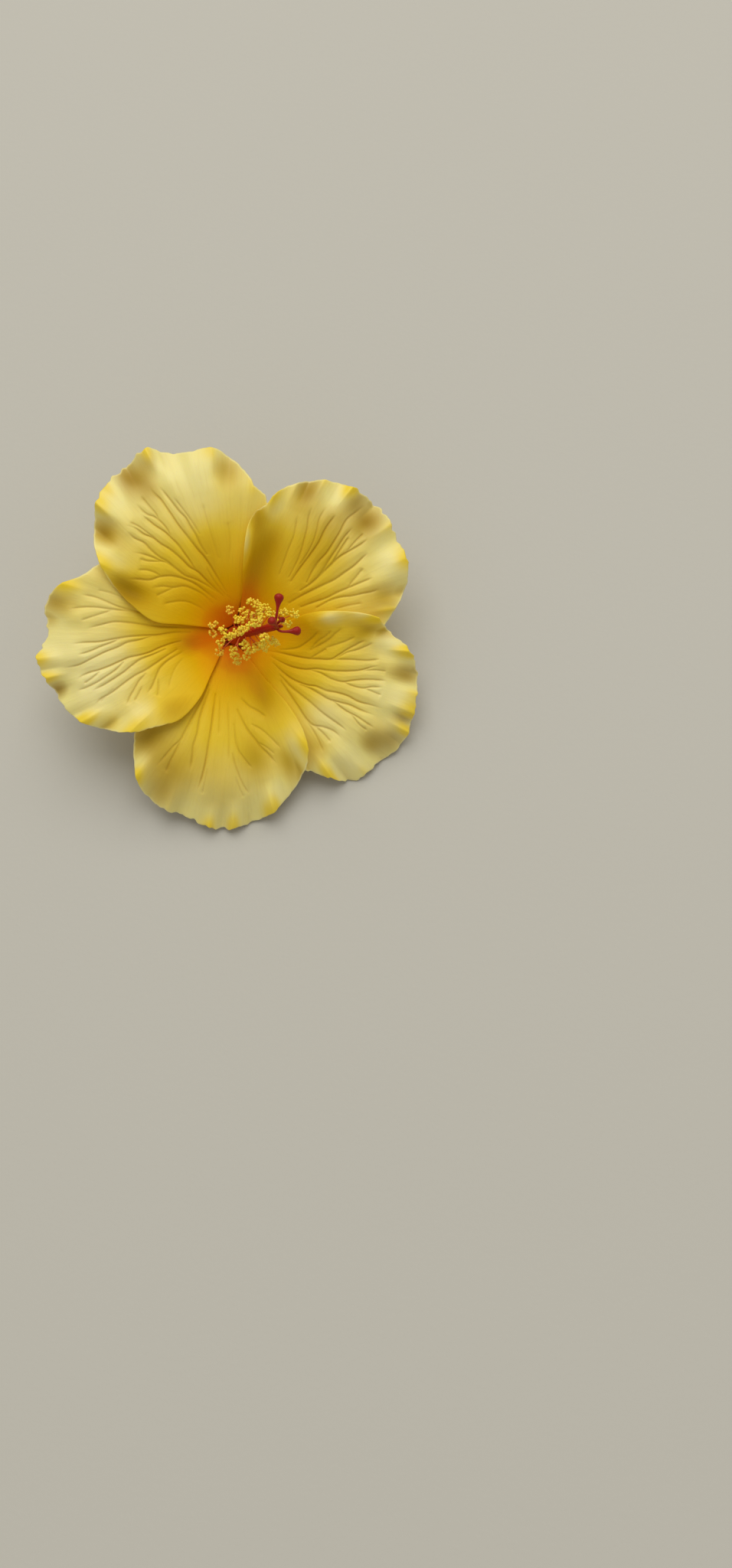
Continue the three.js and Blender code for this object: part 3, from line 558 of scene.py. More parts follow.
def bowed(start, bend, stop, shares):
    """Points of a quadratic curve: (1 - t)^2 * start + 2t(1 - t) * bend + t^2 * stop, at shares t."""
    t = shares[:, None]
    return (1 - t) ** 2 * start + 2 * t * (1 - t) * bend + t**2 * stop


def funnel(radius):
    """Crest height times (1 - |1 - r / crest radius|^power), less a smooth step that turns the rim back."""
    rise = 1 - np.abs(1 - radius / CREST_RADIUS) ** FUNNEL_POWER
    return CREST_HEIGHT * rise - TURN_BACK * ramp(radius, *TURN_BACK_RANGE)


def waves(radius, angle):
    """Three sines round the rim, as many waves to the turn as named, two of whose phases drift outwards."""
    turn = np.radians(angle)
    broad, slow, fine = (count * turn for count in FRILL_WAVES)
    return (0.8 * np.sin(broad + 1.4 * np.sin(3 * turn) - radius / 14)
            + 0.5 * np.sin(slow + 1.1) + 0.35 * np.sin(fine + 0.5 + radius / 20))


def smooth_curve(corners, steps, evenness=0.5, closed=False):
    """Points of a Catmull-Rom curve through the corners, with steps points to each span.

    A span from b to c, with neighbours a and d, is the cubic Hermite curve whose slope at b is
    (b - a) / g0 - (c - a) / (g0 + g1) + (c - b) / g1 times g1, and likewise at c. The knot gaps g are
    the distances between corners to the power of evenness.
    """
    corners = np.asarray(corners, float)
    if closed:
        line = np.concatenate([corners[-1:], corners, corners[:2]])
    else:
        line = np.concatenate([2 * corners[:1] - corners[1:2], corners, 2 * corners[-1:] - corners[-2:-1]])
    a, b, c, d = line[:-3], line[1:-2], line[2:-1], line[3:]
    gaps = np.linalg.norm(np.diff(line, axis=0), axis=1, keepdims=True) ** evenness
    g0, g1, g2 = gaps[:-2], gaps[1:-1], gaps[2:]
    start = ((b - a) / g0 - (c - a) / (g0 + g1) + (c - b) / g1) * g1
    stop = ((c - b) / g1 - (d - b) / (g1 + g2) + (d - c) / g2) * g1
    t = (np.arange(steps) / steps)[None, :, None]
    b, c, start, stop = (part[:, None, :] for part in (b, c, start, stop))
    square, cube = 3 * c - 3 * b - 2 * start - stop, 2 * b - 2 * c + start + stop
    spans = b + start * t + square * t**2 + cube * t**3
    return np.concatenate([spans.reshape(-1, corners.shape[1]), corners[:1] if closed else corners[-1:]])


def even_points(line, shares):
    """Points at the given shares of a line's length, by linear interpolation along it."""
    steps = np.linalg.norm(np.diff(line, axis=0), axis=1)
    length = np.concatenate([[0], np.cumsum(steps)])
    return np.stack([np.interp(shares * length[-1], length, axis) for axis in line.T], axis=-1)


def unit(vectors):
    """Each vector divided by its length."""
    return vectors / np.linalg.norm(vectors, axis=-1, keepdims=True)


def bar_rings(path, radii, sides, flatness=1.0):
    """Rings of a bar along a path: its point + radius * (cos turn * wide + flatness * sin turn * thin).

    wide is square to the plane that the path lies closest to, and thin is square to it and to the path.
    The radii are one to a ring, or one to each point of each ring.
    """
    along = unit(np.gradient(path, axis=0))
    plane = np.linalg.svd(path - path.mean(axis=0))[2][2]
    thin = unit(np.cross(along, plane))
    wide = np.cross(thin, along)
    turn = -np.arange(sides) / sides * FULL_TURN
    radii = np.broadcast_to(np.asarray(radii, float).reshape(len(path), -1), (len(path), sides))[..., None]
    cosine, sine = np.cos(turn)[None, :, None], np.sin(turn)[None, :, None]
    return path[:, None] + radii * (cosine * wide[:, None] - flatness * sine * thin[:, None])


def with_fields(rings, *fields):
    """Rings of points with extra columns: each field is a value for every point, or for every ring."""
    columns = [
        np.broadcast_to(np.asarray(field, float).reshape(len(rings), -1) if np.ndim(field) else field,
                        rings.shape[:2])[..., None]
        for field in fields]
    return np.concatenate([rings, *columns], axis=-1)


def closed_body(rings):
    """Points and faces of a closed body through rings, whose first and last rings shrink to a point."""
    rows, sides, width = rings.shape
    points = np.concatenate([
        rings[0].mean(axis=0, keepdims=True), rings[1:-1].reshape(-1, width),
        rings[-1].mean(axis=0, keepdims=True)])
    here = 1 + np.arange((rows - 2) * sides).reshape(rows - 2, sides)
    beside = np.roll(here, -1, axis=1)
    quads = np.stack([here[:-1], here[1:], beside[1:], beside[:-1]], axis=-1).reshape(-1, 4)
    first = np.stack([np.zeros(sides, int), here[0], beside[0]], axis=-1)
    last = np.stack([np.full(sides, len(points) - 1), beside[-1], here[-1]], axis=-1)
    return points, quads, np.concatenate([first, last])


class Flower:
    """Where the flower stands: its own frame, in millimetres, leaned over and moved to its calyx."""

    turn = Matrix.Rotation(
        math.radians(LEAN_ANGLE), 3,
        Vector((-math.sin(math.radians(LEAN_TOWARDS)), math.cos(math.radians(LEAN_TOWARDS)), 0)))
    axes = np.array(turn)
    seat = np.zeros(3)

    @classmethod
    def place(cls, points):
        """Turned by the lean, scaled to metres, and moved by the seat."""
        return points @ cls.axes.T * MM + cls.seat


def calyx_lobes(spokes):
    """Each spoke's distance from its lobe's middle, in half lobes, and the bells of the ribs there."""
    from_lobe = np.abs((np.arange(spokes) / spokes * CALYX_LOBES + 0.5) % 1 - 0.5) * 2
    ribs = spread_of(from_lobe, CALYX_RIB_WIDTH) + spread_of(from_lobe - CALYX_SIDE_RIB, CALYX_RIB_WIDTH)
    return from_lobe, ribs


def calyx_rings(shares, spokes, side, rib_height=0.0):
    """Rings of one skin of the calyx: a cup that parts into lobes, under the funnel.

    Its edge is at cup radius + lobe length * (1 - distance from the lobe's middle)^lobe power. The wall
    is thick at the base, and ribs raise its back along three lines of each lobe.
    """
    turn = np.arange(spokes) / spokes * FULL_TURN + math.radians(CALYX_LOBE_AXIS)
    from_lobe, ribs = calyx_lobes(spokes)
    edge = CALYX_CUP_RADIUS + CALYX_LOBE_LENGTH * (1 - from_lobe) ** CALYX_LOBE_POWER
    radius = np.asarray(shares)[:, None] * edge
    wall = CALYX_WALL + CALYX_BASE_DEPTH * (1 - ramp(radius, CALYX_BASE_RADIUS, CALYX_CUP_RADIUS))
    thickness = wall + rib_height * ribs * ramp(radius, *CALYX_RIB_RANGE)
    height = funnel(radius) - CALYX_CLEARANCE - (1 - side) * 0.5 * thickness
    return np.stack([radius * np.cos(turn), radius * np.sin(turn), height], axis=-1)


def seat_flower():
    """Sets the flower's seat, so that the calyx's lowest corner is where the frame has it."""
    skins = [calyx_rings(CALYX_FRAME_RINGS[:4], CALYX_FRAME_SPOKES, side) for side in (1, -1)]
    rim = calyx_rings(CALYX_FRAME_RINGS[4:], CALYX_FRAME_SPOKES, 0)
    points = np.concatenate([*skins, rim]).reshape(-1, 3)
    Flower.seat = np.array(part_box("calyx")[0]) - Flower.place(points).min(axis=0)


# ---------------------------------------------------------------- petals


def crease_depths(x, y, creases, width, valley_width):
    """How deep the creases are at each point: the most of strength * exp(-(distance / width)^2).

    The second result is the same with the valley's width. A crease's strength rises over its first
    part and fades to nothing at its end.
    """
    narrow, wide = np.zeros(x.shape), np.zeros(x.shape)
    for strength, corners in creases:
        line = smooth_curve(flat_points(*np.array(corners, float).T), CREASE_STEPS)
        start, step = line[:-1], np.diff(line, axis=0)
        fromx, fromy = x[..., None] - start[:, 0], y[..., None] - start[:, 1]
        share = np.clip((fromx * step[:, 0] + fromy * step[:, 1]) / (step**2).sum(axis=1), 0, 1)
        gap = np.hypot(fromx - share * step[:, 0], fromy - share * step[:, 1])
        nearest = gap.argmin(axis=-1)[..., None]
        gap = np.take_along_axis(gap, nearest, -1)[..., 0]
        place = (np.take_along_axis(share, nearest, -1) + nearest)[..., 0] / len(step)
        level = strength * (CREASE_START + (1 - CREASE_START) * ramp(place, 0, CREASE_RISE))
        level *= 1 - ramp(place, CREASE_FADE, 1)
        narrow = np.maximum(narrow, level * spread_of(gap, width))
        wide = np.maximum(wide, level * spread_of(gap, valley_width))
    return narrow, wide


def bump_heights(x, y, bumps):
    """The sum of bumps: height * exp(-|distance across / half width|^power) * how far along it is.

    A bulge's power is 2, and it fades both ways, by exp(-(distance outwards / half length)^2). A fold has
    no half length: its power is lower, for a sharper crest, and it grows by a smooth step from well
    inside the rim up to its own distance.
    """
    total = np.zeros(x.shape)
    for angle, radius, height, half_width, *half_length in bumps:
        turn = math.radians(angle)
        outward = x * math.cos(turn) + y * math.sin(turn)
        aside = y * math.cos(turn) - x * math.sin(turn)
        if half_length:
            along = spread_of(outward - radius, half_length[0])
        else:
            along = ramp(outward, radius - FOLD_LENGTH, radius + 1) * ramp(outward, 0, 1)
        total += height * spread_of(aside, half_width, 2 if half_length else FOLD_POWER) * along
    return total


def crimped(rim, folds, seed):
    """The rim moved outwards by its share of the folds' height, and by three sines along it.

    The sines have random phases and swell and fade together. A smooth step leaves the claw alone.
    """
    place = np.arange(len(rim)) / len(rim) * FULL_TURN
    phases = np.random.default_rng(seed).uniform(0, FULL_TURN, 4)
    large, small, fine = (count * place + phase for count, phase in zip(CRIMP_WAVES, phases))
    swell = 0.6 + 0.4 * np.sin(3 * place + phases[3])
    crimps = swell * (np.sin(large + 2 * np.sin(2 * place)) + 0.6 * np.sin(small) + 0.35 * np.sin(fine))
    shift = RIM_CRIMP * crimps + RIM_SCALLOP * bump_heights(*rim.T, folds)
    reach = np.linalg.norm(rim, axis=-1)
    return rim * (1 + shift * ramp(reach, *CRIMP_RANGE) / reach)[:, None]


def petal_body(name, settings):
    """A petal's closed sheet, with its fields, from rings round its middle out to the rim and back.

    The middle surface is funnel + frill + folds + bulges + twist * angle from the midrib + the lift of
    its upper edge - a small drop of its lower edge. The creases lower both skins alike, and the rim
    rounds over by sqrt(1 - (1 - distance in from the rim / rim band)^2).
    """
    direction, lift, outline = PETALS[name]
    line = smooth_curve(flat_points(*np.array(outline, float).T), OUTLINE_STEPS, evenness=0, closed=True)
    rim = crimped(even_points(line, np.arange(PETAL_SPOKES) / PETAL_SPOKES), FOLDS[name], direction)
    centre = np.array([PETAL_CENTRE, 0.0])
    front = np.concatenate([np.linspace(0, SHEET_SHARE, FRONT_RINGS), RIM_SHARES, [1]])
    back = np.concatenate([RIM_SHARES[::-1], np.linspace(SHEET_SHARE, 0, BACK_RINGS)])
    share = np.concatenate([front, back])[:, None]
    side = np.concatenate([np.ones(len(front)), -np.ones(len(back))])[:, None]
    flat = centre + share[..., None] * (rim - centre)
    x, y = flat[..., 0], flat[..., 1]
    reach, across = np.hypot(x, y), np.degrees(np.arctan2(y, x))
    inset = (1 - share) * np.linalg.norm(rim - centre, axis=-1)
    edge = np.sqrt(1 - (1 - np.clip(inset / RIM_BAND, 0, 1)) ** 2)
    groove, valley = crease_depths(x, y, CREASES[name], settings.groove_width / MM, VALLEY_WIDTH)
    groove, valley = groove * ramp(reach, *CREASE_RANGE), valley * ramp(reach, *CREASE_RANGE)
    fold, bulge, patch = (bump_heights(x, y, table[name]) for table in (FOLDS, BULGES, LIGHT_SHADE_AND_TONE_PATCHES))
    frill = FRILL_HEIGHT * waves(reach, direction + across) * ramp(reach, *FRILL_RANGE) ** FRILL_POWER
    lifted = lift * ramp(across, *LIFT_ANGLES) - ramp(-across, *DROP_ANGLES)
    height = (funnel(reach) + frill + fold + bulge + PETAL_TWIST * across
              + lifted * ramp(reach, *EDGE_RANGE)
              - settings.groove / MM * groove - settings.valley / MM * valley
              + side * edge * settings.thickness / MM / 2)
    turn = np.radians(direction + across)
    rings = np.stack([reach * np.cos(turn), reach * np.sin(turn), height], axis=-1)
    # crest: where the fold crests take their yellow, partly paint and partly painted light through the
    # folds
    crest = ramp(fold, *CREST_FOLDS) * (1 - ramp(inset, *CREST_INSET))
    # pale: painted light on the pale patches, partly also their own paler tone, and a painted highlight
    # along the rim's edge
    pale = np.maximum(patch, RIM_HIGHLIGHT_TONE * (1 - ramp(inset, *RIM_HIGHLIGHT_INSET)) * ramp(reach, *RIM_HIGHLIGHT_REACH))
    # deep: painted shade on the deep patches and in the hollows of the rim's folds
    deep = np.maximum(-patch, HOLLOW_SHADE_TONE * ramp(-fold, *HOLLOW_SHADE_FOLDS) * (1 - ramp(inset, *HOLLOW_SHADE_INSET)))
    return closed_body(with_fields(rings, reach, across, groove, crest, pale, deep))


# ---------------------------------------------------------------- column, stamens and styles


class Column:
    """The middle line of the staminal column, by share of its length."""

    line = smooth_curve(COLUMN_PATH, COLUMN_CURVE_STEPS)

    @classmethod
    def at(cls, share):
        """The point at a share of the column's length, and the direction of the column there."""
        near = even_points(cls.line, np.array([max(share - 0.003, 0), share, min(share + 0.003, 1)]))
        return near[1], unit(near[2] - near[0])


def column_body():
    """The column: its stations' radii, rounded over at the tip by a quarter ellipse, with shallow ridges.

    The ridges stand ridge height * cos(ridges * turn + ridge turn * share of the length) high.
    """
    shares = np.concatenate([np.linspace(0, COLUMN_FOOT_END, COLUMN_FOOT_RINGS),
                             np.linspace(COLUMN_UPPER_START, 1, COLUMN_RINGS)])
    turn = np.arange(COLUMN_SIDES) / COLUMN_SIDES * FULL_TURN
    ridge = np.cos(COLUMN_RIDGES * turn + COLUMN_RIDGE_TURN * shares[:, None])
    beyond = np.clip((shares - 1 + COLUMN_ROUNDING) / COLUMN_ROUNDING, 0, 1)
    radius = np.interp(shares, *zip(*COLUMN_STATIONS)) * np.sqrt(1 - beyond**2)
    raised = COLUMN_RIDGE_HEIGHT * ramp(shares, *COLUMN_RIDGE_RANGE)[:, None] * ridge
    rings = bar_rings(even_points(Column.line, shares), radius[:, None] + raised, COLUMN_SIDES)
    return closed_body(with_fields(rings, shares, ridge))


def stamen_path(share, x, y, shares):
    """Points of a filament: a quadratic curve that leaves the column squarely and ends at its anther."""
    stand, along = Column.at(share)
    reach = np.array([x - stand[0], y - stand[1], 0])
    length = np.linalg.norm(reach)
    square = (FILAMENT_PITCH * length - reach @ along) / along[2]
    reach[2] = max(square, math.sqrt(max(0, SHORTEST_REACH**2 - length**2)))
    out = unit(reach - along * (reach @ along))
    foot, tip = stand + out * FILAMENT_START, stand + reach
    return bowed(foot, foot + out * FILAMENT_BEND * np.linalg.norm(tip - foot), tip, shares)


def bead_body(centre, radius, tone):
    """A bead: radius * (sin band * cos turn, sin band * sin turn, cos band) about its centre."""
    band = np.linspace(math.pi, 0, BEAD_BANDS + 1)[:, None]
    turn = -np.arange(BEAD_SIDES) / BEAD_SIDES * FULL_TURN
    ball = np.stack([np.sin(band) * np.cos(turn), np.sin(band) * np.sin(turn),
                     np.cos(band) * np.ones(BEAD_SIDES)], axis=-1)
    return closed_body(with_fields(centre + radius * ball, 1, tone))


def stamen_bodies(index, settings):
    """A filament and the beads of its anther, scattered in a ball about its end."""
    random = np.random.default_rng(STAMEN_SEED + index)
    shares = np.linspace(0, 1, FILAMENT_RINGS)
    path = stamen_path(*STAMENS[index], shares)
    length = np.linalg.norm(np.diff(path, axis=0), axis=1).sum()
    middle = path[-1] + unit(path[-2] - path[-1]) * ANTHER_RADIUS
    thread = stamen_path(*STAMENS[index], np.linspace(0, 1 - ANTHER_RADIUS / length, FILAMENT_RINGS))
    rings = bar_rings(thread, np.interp(shares, *zip(*FILAMENT_RADII)), FILAMENT_SIDES)
    directions = unit(random.normal(size=(settings.beads, 3)))
    spread = ANTHER_SPREAD * random.uniform(0.3, 1, settings.beads) ** 0.5
    sizes = settings.bead_radius / MM * random.uniform(*BEAD_SIZES, settings.beads)
    warmth = 0.35 * (1 - ramp(STAMENS[index][0], *PEACH_SHARES))
    tones = random.uniform(0, 1, settings.beads) ** 2 * 0.5 + warmth
    return [closed_body(with_fields(rings, 0, 0.5)),
            *map(bead_body, middle + directions * spread[:, None], sizes, tones)]


def style_body(index):
    """A style branch along a smooth curve through its bends, swelling to a teardrop stigma."""
    reach, bends, stigma = STYLES[index]
    hub, along = Column.at(1)
    aside = unit(np.array([1, 0, 0]) - along * along[0])
    turn = index / len(STYLES) * FULL_TURN
    aside = aside * math.cos(turn) + np.cross(along, aside) * math.sin(turn)
    bends = [(-STYLE_FOOT_DEPTH, STYLE_FOOT_RING), *bends]
    line = smooth_curve([*(hub + along * up + aside * out for up, out in bends), hub + np.array(reach)],
                        STYLE_CURVE_STEPS)
    length = np.linalg.norm(np.diff(line, axis=0), axis=1).sum()
    head = STIGMA_LENGTH * stigma / length
    shares = np.concatenate([np.linspace(0, 1 - head, STYLE_RINGS),
                             np.linspace(1 - head, 1, STYLE_RINGS)[1:]])
    within = np.clip((shares - 1 + head) / head, 0, 1)
    radii = stigma * np.interp(within, *zip((0, STYLE_RADIUS / stigma), *STIGMA_PROFILE))
    rings = bar_rings(even_points(line, shares), radii, STYLE_SIDES)
    return closed_body(with_fields(rings, shares, within))


# ---------------------------------------------------------------- green pieces


def calyx_body():
    """The calyx: the rings of its front skin, of its rim and of its ribbed back, in one closed body."""
    shares = np.linspace(0, CALYX_RIM_SHARE, CALYX_RINGS)
    rings = np.concatenate([
        calyx_rings(shares, CALYX_SPOKES, 1), calyx_rings([1], CALYX_SPOKES, 0),
        calyx_rings(shares[::-1], CALYX_SPOKES, -1, CALYX_RIB_HEIGHT)])
    reach = np.hypot(rings[..., 0], rings[..., 1])
    ribs = np.broadcast_to(calyx_lobes(CALYX_SPOKES)[1], reach.shape)
    front = (np.arange(len(rings)) < CALYX_RINGS)[:, None]
    inside = front * (1 - ramp(reach, *CALYX_FLUSH_RANGE))
    return closed_body(with_fields(rings, reach / CALYX_LENGTH, ribs, 0, inside))


def bractlet_body(index):
    """A bractlet: a flat bar along a quadratic curve outwards from under the calyx."""
    turn = math.radians(CALYX_LOBE_AXIS + BRACTLET_TURN + 360 / BRACTLET_COUNT * index)
    outward = np.array([math.cos(turn), math.sin(turn), 0])
    corners = (outward * radius + np.array([0, 0, STALK_TOP + height]) for radius, height in BRACTLET_PATH)
    shares = np.linspace(0, 1, BRACTLET_RINGS)
    radii = np.interp(shares, *zip(*BRACTLET_RADII))
    rings = bar_rings(bowed(*corners, shares), radii, BRACTLET_SIDES, BRACTLET_FLATNESS)
    return closed_body(with_fields(rings, shares, 0, 0, 0))


def stalk_body():
    """The stub: a round bar whose rings slant from the floor's plane, at the cut, to square at the top.

    Each ring is at radius + ridge height * cos(ridges * turn), and its height goes from the floor's to
    the stalk's top with its share of the length.
    """
    near_cut, first, last = STALK_SHARES
    shares = np.concatenate([[0, 0, near_cut], np.linspace(first, last, STALK_RINGS), [1, 1]])[:, None]
    turn = -np.arange(STALK_SIDES) / STALK_SIDES * FULL_TURN
    ridge = np.cos(STALK_RIDGES * turn)
    radius = np.interp(shares, *zip(*STALK_RADII)) + STALK_RIDGE_HEIGHT * ridge
    radius[0] = radius[-1] = 0
    x, y = radius * np.cos(turn), radius * np.sin(turn)
    floor = -(Flower.seat[2] / MM + Flower.axes[2, 0] * x + Flower.axes[2, 1] * y) / Flower.axes[2, 2]
    rings = np.stack([x, y, floor + FLOOR_CLEARANCE + shares * (STALK_TOP - floor)], axis=-1)
    cut = (shares < near_cut / 2)[:, 0]
    return closed_body(with_fields(rings, shares[:, 0], ridge * np.ones_like(shares), cut, 0))


# ---------------------------------------------------------------- finishes


class Value:
    """A shader value. Arithmetic on it adds Math nodes to its finish."""

    def __init__(self, finish, socket):
        self.finish = finish
        self.socket = socket

    def math(self, operation, *operands):
        """A Math node of the operation, on values or numbers."""
        return self.finish.node("ShaderNodeMath", {"operation": operation}, dict(enumerate(operands)))

    def __add__(self, other):
        return self.math("ADD", self, other)

    def __sub__(self, other):
        return self.math("SUBTRACT", self, other)

    def __mul__(self, other):
        return self.math("MULTIPLY", self, other)

    def __truediv__(self, other):
        return self.math("DIVIDE", self, other)

    def __rsub__(self, other):
        return self.math("SUBTRACT", other, self)

    __radd__ = __add__
    __rmul__ = __mul__


class Finish:
    """A procedural material: one method adds any node, and Value does the sums."""

    def __init__(self, name):
        self.material = bpy.data.materials.new(name)
        self.material.use_nodes = True
        self.tree = self.material.node_tree
        self.tree.nodes.clear()

    def node(self, kind, settings=None, values=None, output=0):
        """Adds a node: its settings first, a ramp's stops among them, then its sockets' values or links."""
        node = self.tree.nodes.new(kind)
        for key, setting in (settings or {}).items():
            if key == "stops":
                elements = node.color_ramp.elements
                while len(elements) < len(setting):
                    elements.new(1)
                for element, (position, colour) in zip(elements, setting):
                    element.position = position
                    element.color = (*colour, 1)
            else:
                setattr(node, key, setting)
        for key, value in (values or {}).items():
            if isinstance(value, Value):
                self.tree.links.new(value.socket, node.inputs[key])
            else:
                node.inputs[key].default_value = value
        return Value(self, node.outputs[output] if node.outputs else None)

    def field(self, name):
        """One of the piece's own fields."""
        return self.node("ShaderNodeAttribute", {"attribute_name": name}, output="Fac")

    def mix(self, share, first, second):
        """Colour mixed from first to second."""
        first, second = (part if isinstance(part, Value) else (*part, 1) for part in (first, second))
        return self.node("ShaderNodeMix", {"data_type": "RGBA"}, {0: share, 6: first, 7: second}, output=2)

    def ramp(self, value, *stops):
        """Colour by value, between stops of (position, colour)."""
        return self.node("ShaderNodeValToRGB", {"stops": stops}, {"Fac": value})

    def held(self, value):
        """The value, held in 0 to 1."""
        return self.node("ShaderNodeClamp", None, {"Value": value})

    def noise(self, scale, detail=3.0, rough=0.5, where=None):
        """Noise over the piece's own place, or over the given coordinates."""
        if where is None:
            where = self.node("ShaderNodeTexCoord", output="Object")
        return self.node("ShaderNodeTexNoise", None,
                         {"Vector": where, "Scale": scale, "Detail": detail, "Roughness": rough})

    def bump(self, height, distance):
        """A normal from a height, in shares of a distance in millimetres."""
        return self.node("ShaderNodeBump", None, {"Distance": distance * MM, "Height": height})

    def surface(self, colour, roughness, normal, **constants):
        """Ends the finish in a Principled shader; the constants are set on its own sockets."""
        values = {"Base Color": colour, "Roughness": roughness, "Normal": normal}
        values.update({name.replace("_", " ").title().replace("Ior", "IOR"): value
                       for name, value in constants.items()})
        shader = self.node("ShaderNodeBsdfPrincipled", None, values)
        self.node("ShaderNodeOutputMaterial", None, {"Surface": shader})
        return self.material


def petal_finish(settings):
    """Throat to rim colours by reach, then painted shade on the deep patches and the rim's hollows, painted
    light on the pale patches and the rim's edge, crests that are partly painted light, painted shade in the
    creases, and fine streaks.
    """
    finish = Finish("petal_sheet")
    reach, across, groove = (finish.field(name) for name in ("reach", "across", "groove"))
    crest, pale, deep = (finish.field(name) for name in ("crest", "pale", "deep"))
    mottle = finish.noise(45, 3)
    # The pale patches (painted light) and the deep ones (painted shade) also move the colour stops
    shift = (mottle - 0.5) * MOTTLE_SHIFT + pale * PALE_AND_LIT_SHIFT - deep * PAINTED_SHADE_SHIFT
    place = (reach + shift) / COLOUR_REACH
    tints = (settings.throat, settings.flush, settings.inner, settings.middle, settings.outer)
    colour = finish.ramp(place, *zip(COLOUR_STOPS, tints))
    streak = finish.noise(1, 4, 0.6, finish.node(
        "ShaderNodeCombineXYZ", None, {"X": across * 0.9, "Y": reach * 0.07}))
    # Painted shade: the deep patches and the rim's hollows
    colour = finish.mix(finish.held(deep * (0.8 + mottle * 0.4)), colour, settings.deep[:])
    outside = finish.held((place - 0.4) * 5)
    # Painted light: the pale patches, partly the petals' own tone, and a highlight along the rim's edge
    colour = finish.mix(finish.held(pale * outside * (0.6 + mottle * 0.4)), colour, settings.pale[:])
    # Crests: partly airbrushed yellow, partly painted light shining through the thin folds
    colour = finish.mix(finish.held(crest * (1.2 - mottle * 0.5)), colour, settings.crest[:])
    # Painted shade in the creases
    colour = finish.mix(groove * GROOVE_SHADE, colour, settings.crease[:])
    colour = finish.mix(finish.held(streak - 0.5) * STREAK_TINT, colour, settings.crease[:])
    normal = finish.bump(streak * 0.8 + finish.noise(900, 2) * 0.2, PETAL_BUMP)
    return finish.surface(
        colour, 0.5 + mottle * 0.15, normal, subsurface_weight=0.12, subsurface_scale=1.5 * MM,
        subsurface_radius=(1, 0.7, 0.15), specular_ior_level=0.1,
        coat_weight=finish.held((place - 0.3) * 1.6), coat_roughness=0.45)


def stamen_finish(settings):
    """Orange filaments and yellow beads, some of them peach, with a powdery bump."""
    finish = Finish("stamen_thread")
    pollen, tone = finish.field("pollen"), finish.field("tone")
    grain = finish.noise(2600, 2)
    bead = finish.mix(finish.held(tone), settings.pollen[:], settings.peach[:])
    colour = finish.mix(pollen, settings.filament[:], bead)
    colour = finish.mix(grain * 0.06, colour, settings.filament[:])
    return finish.surface(
        colour, 0.34 + grain * 0.2, finish.bump(grain, 0.1), subsurface_weight=0.2,
        subsurface_scale=0.8 * MM, subsurface_radius=(1, 0.6, 0.2), specular_ior_level=0.5)


def column_finish(settings):
    """Orange at the foot, deep red from two fifths of the way up, with painted shade between its ridges and
    a velvety bump.
    """
    finish = Finish("column_tube")
    share, ridge = finish.field("share"), finish.field("ridge")
    grain = finish.noise(1400, 3)
    colour = finish.ramp(share + (grain - 0.5) * 0.1, (0.12, settings.foot), (0.4, settings.tube))
    # Painted shade in the grooves between the ridges, with a random darkening
    colour = finish.mix((1 - ridge) * 0.12 + grain * 0.1, colour, (0.12, 0.006, 0.006))
    return finish.surface(colour, 0.42 + grain * 0.2, finish.bump(grain, 0.12), specular_ior_level=0.35,
                          specular_tint=RED_SHEEN)


def style_finish(settings):
    """Deep red, a little brighter and more velvety on the stigma."""
    finish = Finish("style_branch")
    share, velvet = finish.field("share"), finish.field("velvet")
    grain = finish.noise(1800, 3)
    colour = finish.mix(grain * 0.4, settings.style[:], (0.13, 0.005, 0.004))
    colour = finish.mix((1 - velvet) * (1 - share) * 0.2, colour, (0.2, 0.01, 0.006))
    return finish.surface(colour, 0.3 + grain * 0.12, finish.bump(grain * (0.3 + velvet * 0.7), 0.2),
                          specular_ior_level=0.4, specular_tint=RED_SHEEN)


def green_finish(settings):
    """Leaf green, paler along ribs and towards the tips, and straw-pale on the stalk's cut end."""
    finish = Finish("green_leaf")
    share, rib, cut, inside = (finish.field(name) for name in ("share", "rib", "cut", "inside"))
    patch, fuzz = finish.noise(160, 3), finish.noise(2200, 2)
    colour = finish.mix(patch * 0.5, settings.leaf[:], settings.pale[:])
    colour = finish.mix(rib * 0.3 + share * 0.2, colour, settings.pale[:])
    colour = finish.mix(cut, colour, settings.cut[:])
    colour = finish.mix(inside, colour, settings.throat[:])
    return finish.surface(colour, 0.5 + fuzz * 0.2, finish.bump(patch + fuzz * 0.4, 0.15),
                          subsurface_weight=0.08, subsurface_scale=MM)


def floor_finish(settings):
    """Plain and pale, with a faint broad unevenness."""
    finish = Finish("floor")
    cloud, grain = finish.noise(3, 2), finish.noise(400, 2)
    tint = finish.mix(cloud * 0.2, settings.floor[:], [0.9 * part for part in settings.floor])
    return finish.surface(tint, 0.85 + grain * 0.1, finish.bump(grain, 0.05))


# ---------------------------------------------------------------- pieces


def add_piece(name, bodies, material, node, fields):
    """One mesh of closed bodies, whose columns after the third are its named fields, for a node."""
    points = np.concatenate([body[0] for body in bodies])
    firsts = np.cumsum([0] + [len(body[0]) for body in bodies[:-1]])
    faces = [face for body, first in zip(bodies, firsts)
             for part in body[1:] for face in (part + first).tolist()]
    mesh = bpy.data.meshes.new(name)
    mesh.from_pydata(Flower.place(points[:, :3]), [], faces)
    for column, field in enumerate(fields, start=3):
        layer = mesh.attributes.new(field, "FLOAT", "POINT")
        layer.data.foreach_set("value", points[:, column].astype(np.float32))
    mesh.shade_smooth()
    mesh.materials.append(material)
    piece = bpy.data.objects.new(name, mesh)
    bpy.context.scene.collection.objects.link(piece)
    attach(piece, "root")
    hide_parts(node)


